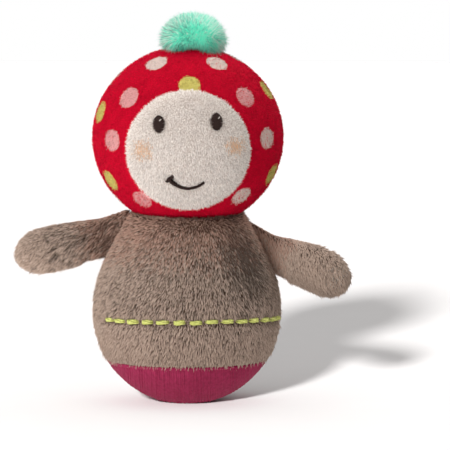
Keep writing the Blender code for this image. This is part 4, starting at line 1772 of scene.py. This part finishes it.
@dataclass
class Face:
    """The cream face, whose pile keeps off the embroidery, and its blushed cheeks.

    Places are measured from its middle, to the toy's left and up. A cheek also has a radius.
    """

    tools: Tools
    sewn: Embroidery
    form: HeadForm = HeadForm()
    pile: Pile = Pile(
        30000, 0.0014, 0.00027, lift=0.75, spread=0.45, clump=0.0026, pull=1.0, mottle=1.0, kinds=2, seed=31,
        parting=0.4,
    )
    stuffing: Stuffing = Stuffing(60.0, 0.0004)
    steps: int = 72
    rows: int = 22
    first_row: float = 0.04
    proud: float = -0.0006
    crown: float = 0.0003
    back: float = -0.0026
    trim: float = 0.975
    shift: float = 0.0004
    held: float = 0.96
    rim: Ease = Ease(0.8, 0.2)
    rim_short: float = 0.2
    combed: Pair = (0.6, 0.7)
    turned_back: float = 0.2
    bare_eye: Ease = Ease(0.9, 0.2)
    thin_mouth: Ease = Ease(0.0004, 0.0006, 0.75)
    mouth_steps: int = 40
    blush: float = 0.72
    blush_fall: float = 1.1
    # Painted light and shade: lighter towards the top, darker low down.
    painted_light_up: float = 0.22
    cheeks: tuple[Triple, ...] = ((-0.0174, 0.0007, 0.0046), (0.0186, 0.0023, 0.0042))

    def build(self) -> None:
        """Makes the padded face, crowned towards its middle, and grows its pile."""
        form, turns = self.form, around(self.steps)
        shares = np.sin(np.linspace(self.first_row, 1, self.rows) * np.pi / 2)
        rows = [(share, self.back) for share in shares[4::6]]
        rows += [(share, self.proud + self.crown * (1 - share**2)) for share in shares[::-1]]
        rings = []
        for share, proud in rows:
            across = share * self.trim * form.face_width / 2 * np.cos(turns) + self.shift
            up = share * self.trim * form.face_height / 2 * np.sin(turns)
            rings.append(form.front(across, up, proud))
        low, high = (form.front(0.0, 0.0, proud) for proud in (self.back, self.proud + self.crown))
        skin = ringed("face_skin", np.array(rings), low, high)
        self.stuffing.fill(skin, np.hypot(*self.shares(places_of(skin.data))) > self.held)
        upright = places_of(skin.data)
        put_places(skin.data, form.tipped(upright))
        self.comb(skin.data, upright)
        self.dress(skin)

    def shares(self, upright: Array) -> tuple[Array, Array]:
        """Where upright places lie on the trimmed face, as shares of its half sizes."""
        wide, tall = self.form.shares(upright, self.shift)
        return wide / self.trim, tall / self.trim

    def comb(self, mesh: Mesh, upright: Array) -> None:
        """Combs the pile down and out over the seam, keeps it off the embroidery, and paints it lighter
        towards the top and darker low down, as painted light and shade.

        Args:
            mesh: The skin's mesh.
            upright: Its vertices before the nod.
        """
        normals, sewn = places_of(mesh, "normal"), self.sewn
        wide, tall = self.shares(upright)
        rim = self.rim.rising(np.hypot(wide, tall))
        down = tangent(DOWN, normals) * self.combed[0] * (1 - rim[:, None])
        outward = np.stack([wide, np.zeros(len(wide)), tall], 1) * rim[:, None] * self.combed[1]
        across, up = self.form.on_face(upright)
        pile = np.where(normals[:, 1] < self.turned_back, 1.0, 0.0) * (1 - self.rim_short * rim)
        for x, z in (eye.middle for eye in sewn.eyes):
            apart = np.hypot((across - x) / sewn.eye_width, (up - z) / sewn.eye_height) * 2
            pile *= self.bare_eye.rising(apart)
        for path in (sewn.smile, sewn.dimple):
            for x, z in refined(path, self.mouth_steps):
                pile *= 1 - self.thin_mouth.falling(np.hypot(across - x, up - z))
        blush = np.zeros(len(wide))
        for x, z, radius in self.cheeks:
            apart = np.hypot(across - x, up - z) / radius
            blush = np.maximum(blush, self.blush * np.exp(-(apart**2) * self.blush_fall))
        planted(mesh, down + outward, pile, blush, self.painted_light_up * tall)

    def dress(self, skin: Object) -> None:
        """Grows the pile and fixes both to the head.

        Args:
            skin: The skin.
        """
        backing = BackingFinish("cream_backing", dye(226, 212, 202), dye(196, 180, 170))
        skin.data.materials.append(backing.material())
        dyes = (dye(255, 246, 238), dye(246, 200, 158))
        # The darker root is painted shade deep in the pile.
        cream = PileFinish("cream_pile", dyes, root=dye(228, 214, 204), spread=0.32, sheen=0.2)
        [pile] = self.pile.grow(self.tools.pile, skin, cream.material(), {"face_pile": 1.0})
        seat(pile, "head", "face_plush")
        seat(skin, "head", "face_plush", "face_panel", fill=0.8)


@dataclass
class Pompom:
    """The teal pompom, gathered and sewn to the crown."""

    tools: Tools
    head: HeadForm = HeadForm()
    pile: Pile = Pile(
        20000, 0.0042, 0.00032, lift=1.0, spread=0.5, clump=0.003, pull=1.0, kinds=2, seed=47, lock=0.0014,
        parting=0.7,
    )
    stuffing: Stuffing = Stuffing(12000.0)
    steps: int = 48
    width: float = 0.0260
    height: float = 0.0134
    neck: float = 0.0060
    rim: float = 0.86
    belly: float = 0.32
    offset: float = 0.0022
    depth: float = 0.0042
    under: float = 0.0014
    gathered: float = 0.0012
    bare: float = 0.0066
    underside: float = -0.6
    least_droop: float = 0.1
    droop: Ease = Ease(0.0, 0.005, 0.6)
    combed: Ease = Ease(0.0, 0.006)
    lobes: Ease = Ease(0.0015, 0.0045, 0.9)
    lobed: Ease = Ease(0.001, 0.005)
    # Painted light: a pale dye round the rim, and the pile lighter on the toy's left and a little darker on
    # its right, for light coming through the pile.
    pale: Ease = Ease(0.35, 0.6, 0.55)
    painted_rim_round: float = 0.2
    bright: Pair = (0.32, 0.12)
    painted_light_width: float = 0.004

    def profile(self) -> tuple[Array, Array]:
        """Draws the core's outline from its gathered neck to its top.

        Returns:
            Its radii, and its heights.
        """
        bend = self.head.width**2 / self.head.height / 2
        widest, rim = self.width / 2 - self.depth, self.width / 2 * self.rim - self.depth
        radii = np.linspace(self.neck / 2, rim, 4)
        hollow = np.sqrt(bend**2 - radii**2) - bend + self.under
        base, crown = hollow[-1], self.height - self.depth
        belly = base + (crown - base) * self.belly
        start = math.acos(rim / widest)
        angles = np.linspace(-start, np.radians(84), 14)[1:]
        rise = np.where(angles > 0, crown - belly, (belly - base) / math.sin(start))
        radii = np.concatenate([radii, widest * np.cos(angles)])
        return radii, np.concatenate([hollow, belly + rise * np.sin(angles)])

    @property
    def tilt(self) -> float:
        """How far its seat leans to the toy's left."""
        return math.asin(2 * self.offset / self.head.width)

    def seated(self, places: Array, directions: bool = False) -> Array:
        """Sets places in the pompom's own axes, or directions, onto the nodding head."""
        foot = np.zeros(3) if directions else self.head.point(np.pi / 2, np.pi / 2 - self.tilt)
        return self.head.tipped(places @ turning(self.tilt, 2, 0).T + foot, directions)

    def build(self) -> None:
        """Makes the core and grows the long pile on it."""
        radii, heights = self.profile()
        turns = around(self.steps)
        level = np.repeat(heights[:, None], self.steps, 1)
        rings = np.stack([np.outer(radii, np.cos(turns)), np.outer(radii, np.sin(turns)), level], -1)
        high = self.height - self.depth
        skin = ringed("pompom_skin", rings, np.array([0, 0, heights[0]]), np.array([0, 0, high]))
        height = places_of(skin.data)[:, 2]
        self.stuffing.fill(skin, height < height.min() + self.gathered)
        local, normals = places_of(skin.data), places_of(skin.data, "normal")
        side, _, height = local.T
        away = np.linalg.norm(local[:, :2], axis=1)
        droop = (self.least_droop + self.droop.falling(height)) * self.combed.rising(away)
        comb = tangent(DOWN, normals) * droop[:, None]
        put_places(skin.data, self.seated(local))
        pile = np.where((normals[:, 2] < self.underside) & (away < self.bare), 0.0, 1.0)
        lobes = self.lobes.rising(np.abs(side)) - self.lobes.share / 2
        pile *= 1 + lobes * self.lobed.falling(height)
        # Painted light: the pale rim, and lighter strands on the toy's left.
        rim = np.hypot(side / (self.width / 2 - self.depth), height / high - self.painted_rim_round)
        bright = np.tanh(side / self.painted_light_width)
        tone = np.where(bright > 0, *self.bright) * bright
        planted(skin.data, self.seated(comb, True), pile, self.pale.rising(rim), tone)
        self.dress(skin)

    def dress(self, skin: Object) -> None:
        """Grows the pile, which lets light through, and fixes both to the head.

        Args:
            skin: The core.
        """
        backing = BackingFinish("teal_backing", dye(70, 176, 152), dye(48, 138, 118))
        skin.data.materials.append(backing.material())
        # The second, pale dye and the pale tips are painted light coming through the pile. The darker root is
        # painted shade deep in it.
        teal = PileFinish(
            "teal_pile", (dye(84, 236, 200), dye(208, 244, 226)), root=dye(36, 180, 150), spread=0.75,
            painted_tip_light=0.6, painted_tip_colour=dye(230, 250, 238), sheen=0.2,
        )
        [pile] = self.pile.grow(self.tools.pile, skin, teal.material(), {"pompom_pile": 1.0})
        pile.visible_shadow = False
        seat(pile, "head", "pompom_plush")
        seat(skin, "head", "pompom_plush", "pompom_cover", fill=0.7)


# Arms


@dataclass
class Arm:
    """An arm, sewn flat into the side seam and stuffed towards its hand.

    Travel is measured from the seam along the arm. The arm hangs by droop and reaches forward. Its pile is
    combed down and outward by two shares, and its painted light and shade lie at the root, the wrist and the
    hand.
    """

    tools: Tools
    side: Side
    shoulder: Array
    seam_up: Array
    droop: float
    forward: float
    combed: Pair
    painted_light_and_shade: Triple
    rise: float
    sag: float
    pile: Pile = replace(PLUSH, count=14000, seed=59, lock=0.0013, parting=0.9)
    stuffing: Stuffing = Stuffing(30.0)
    steps: int = 36
    length: float = 0.0424
    root_height: float = 0.0206
    root_thickness: float = 0.0018
    narrow_at: float = 0.0085
    narrow_height: float = 0.0188
    hand_height: float = 0.0202
    hand_thickness: float = 0.0150
    swell_length: float = 0.0225
    tip_length: float = 0.0125
    depth: float = 0.0016
    least: float = 0.0014
    tuck: float = 0.0022
    short: float = 0.0008
    sewn: float = 0.003
    bend_length: float = 0.009
    rows: int = 24
    tip_rows: int = 9
    root_depth: float = 0.3
    sagging: Ease = Ease(0.002, 0.024)
    # Painted red reflection of the hood, near the root.
    painted_red_reflection: Ease = Ease(0.002, 0.020, 0.75)
    crest_rise: Ease = Ease(0.35, 0.5)
    crest_end: Ease = Ease(0.010, 0.012)
    crest_short: float = 0.35
    # Painted light on the crest, and painted light and shade along the arm.
    crest_painted_light: float = 0.4
    painted_light_and_shade_at: Triple = (0.004, 0.024, 0.036)

    @property
    def name(self) -> str:
        """The arm's name, and its body's."""
        return f"{self.side.name.lower()}_arm"

    @property
    def along(self) -> Array:
        """The arm's direction."""
        level = np.array([self.side.value * math.cos(self.forward), -math.sin(self.forward), 0.0])
        return level * math.cos(self.droop) + DOWN * math.sin(self.droop)

    @property
    def end(self) -> float:
        """The travel at which the skin ends."""
        return self.length - self.depth - self.short

    def travel(self, places: Array) -> Array:
        """How far out places lie."""
        return (places - self.shoulder) @ self.along

    def drop(self, travel: Values) -> Array:
        """How far the arm sags next to the seam."""
        return self.sag * self.sagging.falling(travel)

    def ring(self, travel: float, turns: Array) -> Array:
        """A ring of the skin, which lies along the seam at the root and across the arm further out.

        Args:
            travel: How far out it lies.
            turns: Angles round it.

        Returns:
            Its points.
        """
        share = min(1.0, max(0.0, travel / self.swell_length))
        eased, narrowed = float(smooth(share)), float(smooth(travel / self.narrow_at))
        widened = float(Ease(self.narrow_at, self.swell_length - self.narrow_at).rising(travel))
        tall = self.root_height + (self.narrow_height - self.root_height) * narrowed
        tall += (self.hand_height - self.narrow_height) * widened
        fuller = self.hand_thickness - self.root_thickness
        thick = self.root_thickness + fuller * math.sin(np.pi / 2 * share)
        past = max(0.0, (travel - self.end + self.tip_length) / self.tip_length)
        taper = math.sqrt(max(0.0, 1 - past**2))
        along = self.along
        arm_up = unit(-DOWN - along * along[2])
        arm_side = self.side.value * np.cross(arm_up, along)
        up = unit(self.seam_up * (1 - eased) + arm_up * eased)
        aside = unit(np.array([0.0, 1.0, 0.0]) * (1 - eased) + arm_side * eased)
        middle = self.shoulder + along * travel + DOWN * self.drop(travel)
        tall = (tall / 2 - self.depth * (self.root_depth + (1 - self.root_depth) * eased)) * taper
        thick = max(thick / 2 - self.depth, self.least) * taper
        over = np.cos(turns) * tall + np.clip(np.cos(turns), 0, 1) * self.rise * (1 - narrowed)
        return middle + np.outer(over, up) + np.outer(np.sin(turns), aside) * thick

    def build(self) -> None:
        """Makes the stuffed arm and grows its pile."""
        turns, round_start = around(self.steps), self.end - self.tip_length
        tip = round_start + self.tip_length * np.sin(np.linspace(0, np.pi / 2, self.tip_rows)[1:-1])
        travels = [*np.linspace(-self.tuck, round_start, self.rows), *tip]
        rings = np.array([self.ring(travel, turns) for travel in travels])
        low, high = (self.shoulder + self.along * travel for travel in (-self.tuck, self.end))
        skin = ringed(f"{self.name}_skin", rings, low, high)
        if self.side is Side.LEFT:
            skin.data.flip_normals()
        self.stuffing.fill(skin, self.travel(places_of(skin.data)) < self.sewn)
        self.comb(skin.data)
        self.dress(skin)

    def comb(self, mesh: Mesh) -> None:
        """Combs the pile, lays it flat and short on top of the root, and writes painted light and shade along
        the arm and painted light on that top.

        Args:
            mesh: The skin's mesh.
        """
        normals, travel = places_of(mesh, "normal"), self.travel(places_of(mesh))
        down, outward = tangent(DOWN, normals), tangent(self.along, normals)
        crest = self.crest_rise.rising(normals[:, 2]) * self.crest_end.falling(travel)
        comb = unit(down * self.combed[0] + outward * self.combed[1]) + outward * crest[:, None]
        # Painted light and shade along the arm, and painted light on the crest.
        tone = np.interp(travel, self.painted_light_and_shade_at, self.painted_light_and_shade) + self.crest_painted_light * crest
        planted(mesh, comb, 1 - self.crest_short * crest, self.painted_red_reflection.falling(travel), tone)

    def dress(self, skin: Object) -> None:
        """Grows the pile and lets both bend at the seam.

        Args:
            skin: The skin.
        """
        skin.data.materials.append(bpy.data.materials[TAUPE_BACKING.name])
        finish = bpy.data.materials[TAUPE_PILE.name]
        [pile] = self.pile.grow(self.tools.pile, skin, finish, {f"{self.name}_pile": 1.0})
        for piece in (pile, skin):
            self.bend(piece)
        seat(pile, None, "body_plush")
        seat(skin, None, "body_plush", f"{self.name}_cover", fill=0.8)

    def bend(self, piece: Object) -> None:
        """Lets a piece of the arm bend next to the seam."""
        end = self.shoulder + self.along * self.bend_length
        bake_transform(piece, "torso", self.name, start=tuple(self.shoulder), end=tuple(end))


# Inside


@dataclass
class Inside:
    """What the covers hold: stuffing, the weight and the rattle."""

    nodes: dict[str, Object]
    arms: Sequence[Arm]
    fibre: FibreFinish = FibreFinish("stuffing_fibre", dye(238, 236, 230), dye(196, 194, 188))
    canvas: CanvasFinish = CanvasFinish("pouch_weave", dye(214, 202, 176), dye(160, 146, 118))
    shell: PlasticFinish = PlasticFinish("capsule_moulding", dye(196, 214, 226), dye(160, 184, 204), 0.32)
    bead: PlasticFinish = PlasticFinish("bead_moulding", dye(236, 196, 74), dye(206, 160, 46), 0.22)
    lump: float = 0.0005
    waves: float = 900.0
    room: float = 0.0002
    arm_room: float = 0.0004
    pouch_room: float = 0.0001

    def lumpy(self, node: str, name: str, shrink: float, finish: Material) -> Object:
        """Makes a soft copy of a filling, which sinks between lumps.

        Args:
            node: The CAD node that it stands for.
            name: The new piece's name.
            shrink: How far it stays inside the node's surface.
            finish: Its material.

        Returns:
            The piece.
        """
        mesh = self.nodes[node].data.copy()
        mesh.name = name
        piece = linked(mesh)
        piece.modifiers.new("joined", "WELD").merge_threshold = 1e-6
        finer = piece.modifiers.new("finer", "SUBSURF")
        finer.subdivision_type = "SIMPLE"
        finer.levels = finer.render_levels = 2
        piece.data = evaluated_mesh(piece)
        piece.modifiers.clear()
        places, normals = places_of(piece.data), places_of(piece.data, "normal")
        ways = unit(np.random.default_rng(77).normal(size=(4, 3)))
        waves = sum(np.sin(places @ way * self.waves + phase) for phase, way in enumerate(ways))
        depth = shrink + self.lump * (0.5 + waves / 8)
        put_places(piece.data, places - normals * depth[:, None])
        piece.data.shade_smooth()
        piece.data.materials.clear()
        piece.data.materials.append(finish)
        return piece

    def build(self) -> None:
        """Makes the soft pieces and gives the rattle its plastics."""
        fibre = self.fibre.material()
        for whole, body in (("body", "torso"), ("head", "head"), ("pompom", "head")):
            piece = self.lumpy(f"{whole}_filling", f"{whole}_stuffing", self.room, fibre)
            seat(piece, body, "stuffing", f"{whole}_filling", fill=0.8)
        for arm in self.arms:
            piece = self.lumpy(f"{arm.name}_filling", f"{arm.name}_stuffing", self.arm_room, fibre)
            places = places_of(piece.data)
            places[:, 2] -= arm.drop(arm.travel(places))
            put_places(piece.data, places)
            arm.bend(piece)
            seat(piece, None, "stuffing", f"{arm.name}_filling", fill=0.8)
        pouch = self.lumpy("weight_pouch", "granule_pouch", self.pouch_room, self.canvas.material())
        seat(pouch, "torso", "pouch_canvas", "weight_pouch", fill=0.7)
        for start, finish in (("capsule", self.shell.material()), ("rattle_bead", self.bead.material())):
            for name in (name for name in self.nodes if name.startswith(start)):
                for slot in self.nodes[name].material_slots:
                    slot.material = finish
                LOG.info("%s: dressed", name)


# Studio


@dataclass
class Studio:
    """The camera, a pale floor, and lamps from the left that cast the shadow back to the right."""

    elevation: float = math.radians(4.5)
    distance: float = 1.2
    aim: Triple = (0.0156, 0.0, 0.0724)
    pixel: float = 1 / 2444
    sensor: float = 0.036
    floor_box: tuple[float, float, float, float] = (-4.0, -4.0, 4.0, 6.0)
    floor_tones: tuple[Colour, Colour] = ((0.57, 0.555, 0.55, 1), (0.585, 0.57, 0.565, 1))
    lamps: tuple[tuple[str, Pair, float, float, Lit], ...] = (
        ("key", (-46.0, 36.0), 14.0, 0.57, Lit.TOY),
        ("floor_lamp", (-13.5, 18.2), 5.4, 3.35, Lit.FLOOR),
        ("rim", (112.0, 58.0), 40.0, 0.5, Lit.TOY),
    )
    bounces: tuple[tuple[Pair, Pair, float], ...] = (
        ((-0.35, -0.47), (1.0, 0.8), 0.65),
        ((-0.47, 0.3), (0.8, 0.74), 0.75),
    )

    def build(self) -> None:
        """Sets up everything round the toy."""
        self.shoot()
        floor = self.floor()
        for lamp in self.lamps:
            self.far_lamp(floor, *lamp)
        for panel in self.bounces:
            self.bounce(*panel)
        self.surround()
        bpy.context.scene.view_settings.view_transform = "Standard"

    def placed(self, data: bpy.types.ID, place: Sequence[float], turn: Triple) -> Object:
        """Puts a camera or a lamp into the scene.

        Args:
            data: The camera or the lamp.
            place: Where it stands.
            turn: How it is turned.

        Returns:
            The new object.
        """
        thing = bpy.data.objects.new(data.name, data)
        thing.location, thing.rotation_euler = place, turn
        bpy.context.scene.collection.objects.link(thing)
        return thing

    def shoot(self) -> None:
        """Places the camera at the photograph's height and distance."""
        camera = bpy.data.cameras.new("camera")
        camera.sensor_width = 1000 * self.sensor
        camera.lens = 1000 * self.sensor * self.distance / (PICTURE_PIXELS * self.pixel)
        camera.clip_start, camera.clip_end = 0.05, 20.0
        back = np.array([0, -math.cos(self.elevation), math.sin(self.elevation)])
        place = np.array(self.aim) + back * self.distance
        turn = (math.pi / 2 - self.elevation, 0, 0)
        bpy.context.scene.camera = self.placed(camera, place, turn)

    def far_lamp(self, floor: Object, name: str, way: Pair, width: float, level: float, lit: Lit) -> None:
        """Adds a lamp that stands so far off that its light is even.

        Args:
            floor: The floor.
            name: Its name.
            way: Its place in degrees: from the front towards the toy's left, and up.
            width: How wide it looks from the toy, in degrees.
            level: The light on a surface that faces it, where 1 shows a colour as it is.
            lit: Whether it lights the floor or the toy.
        """
        data = bpy.data.lights.new(name, "SUN")
        data.angle = math.radians(width)
        data.energy = level * math.pi
        lamp = self.placed(data, (0, 0, 0), (math.radians(90 - way[1]), 0, math.radians(way[0])))
        group = bpy.data.collections.new(f"{name}_lights")
        group.objects.link(floor)
        group.collection_objects[0].light_linking.link_state = lit.value
        lamp.light_linking.receiver_collection = group

    def bounce(self, place: Pair, size: Pair, level: float) -> None:
        """Adds what the bright floor throws back up: a dim panel that lies on it, unseen.

        Args:
            place: Its middle on the floor.
            size: How wide and deep it is.
            level: How bright it is, where 1 is white.
        """
        data = bpy.data.lights.new("bounce", "AREA")
        data.shape = "RECTANGLE"
        data.size, data.size_y = size
        data.energy = level * math.pi * size[0] * size[1]
        self.placed(data, (*place, 0.0005), (math.pi, 0, 0)).visible_camera = False

    def surround(self) -> None:
        """Makes the surroundings: white to look at, and brighter above and behind as light."""
        world = bpy.data.worlds.new("surroundings")
        bpy.context.scene.world = world
        world.use_nodes = True
        tree = NodeTree(world.node_tree)
        background = world.node_tree.nodes["Background"]
        background.inputs["Color"].default_value = (1.0, 1.0, 1.0, 1.0)
        _, behind, up = tree.axes(tree.node("ShaderNodeTexCoord", output="Generated"))
        level = 0.1 + 0.9 * up.held() + 0.6 * behind.held()
        seen = self.seen(tree)
        tree.feed(background.inputs["Strength"], level * (1.0 - seen) + seen)

    def seen(self, tree: NodeTree) -> Sock:
        """1 for what the camera sees, directly or in something shiny or clear."""
        path = tree.node("ShaderNodeLightPath", output="Is Camera Ray")
        return path.larger(path.output("Is Glossy Ray")).larger(path.output("Is Transmission Ray"))

    def floor(self) -> Object:
        """Lays a pale floor, clear from below.

        Returns:
            The floor.
        """
        left, front, right, back = self.floor_box
        corners = np.array([[left, front, 0], [right, front, 0], [right, back, 0], [left, back, 0]])
        floor = linked(mesh_from("floor", corners, [[0, 1, 2, 3]]))
        shader = Shader("pale_floor")
        place = shader.place()
        tone = shader.mix(shader.noise(place, 40.0), *self.floor_tones)
        x, y, _ = shader.axes(place)
        # For rays other than the camera's, the floor is painted brighter in front of the toy and on its
        # right, most near it, and darker to its left and behind: a painted pool of bounce light.
        near = (0.55 - 3.6 * x - 1.8 * y).held()
        thrown = 0.3 + near * (0.58 + 0.95 / (1.0 + 70.0 * (x**2.0 + y**2.0)))
        seen = self.seen(shader)
        tone = shader.scaled(tone, seen + (1.0 - seen) * thrown)
        shader.dress({"Base Color": tone, "Roughness": 0.9, "Specular IOR Level": 0.0})
        behind = shader.node("ShaderNodeNewGeometry", output="Backfacing")
        clear = shader.node("ShaderNodeBsdfTransparent")
        top = Sock(shader, shader.surface.outputs[0])
        side = shader.node("ShaderNodeMixShader", {}, {0: behind, 1: top, 2: clear})
        shader.feed(shader.tree.nodes["Material Output"].inputs["Surface"], side)
        floor.data.materials.append(shader.material)
        return floor


def main() -> None:
    """Builds the toy over its frame, piece by piece."""
    logging.basicConfig(level=logging.INFO, format="%(message)s", stream=sys.stdout, force=True)
    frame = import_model()
    Studio().build()
    tools = Tools()
    # Each arm's tones are painted light and shade: the left arm is painted lighter, and the right arm darker
    # at its root and lighter at the hand.
    arms = (
        Arm(
            tools, Side.LEFT, np.array([0.032237, 0.0, 0.064215]), np.array([-0.46073, 0.0, 0.88754]),
            droop=math.radians(20.5), forward=math.radians(30), combed=(0.95, 0.35),
            painted_light_and_shade=(0.40, 0.38, 0.16), rise=0.0026, sag=0.0022,
        ),
        Arm(
            tools, Side.RIGHT, np.array([-0.030286, 0.0, 0.067839]), np.array([0.48783, 0.0, 0.87294]),
            droop=math.radians(12), forward=math.radians(-3), combed=(0.6, 0.85),
            painted_light_and_shade=(-0.30, -0.06, 0.25), rise=0.0018, sag=-0.0004,
        ),
    )
    sewn = Embroidery(tools)
    body = (Body(tools), RunningStitch(tools), Base(tools))
    for part in (*body, Hood(tools), Face(tools, sewn), sewn, Pompom(tools), *arms):
        part.build()
    Inside(frame["nodes"], arms).build()


if __name__ == "__main__":
    main()
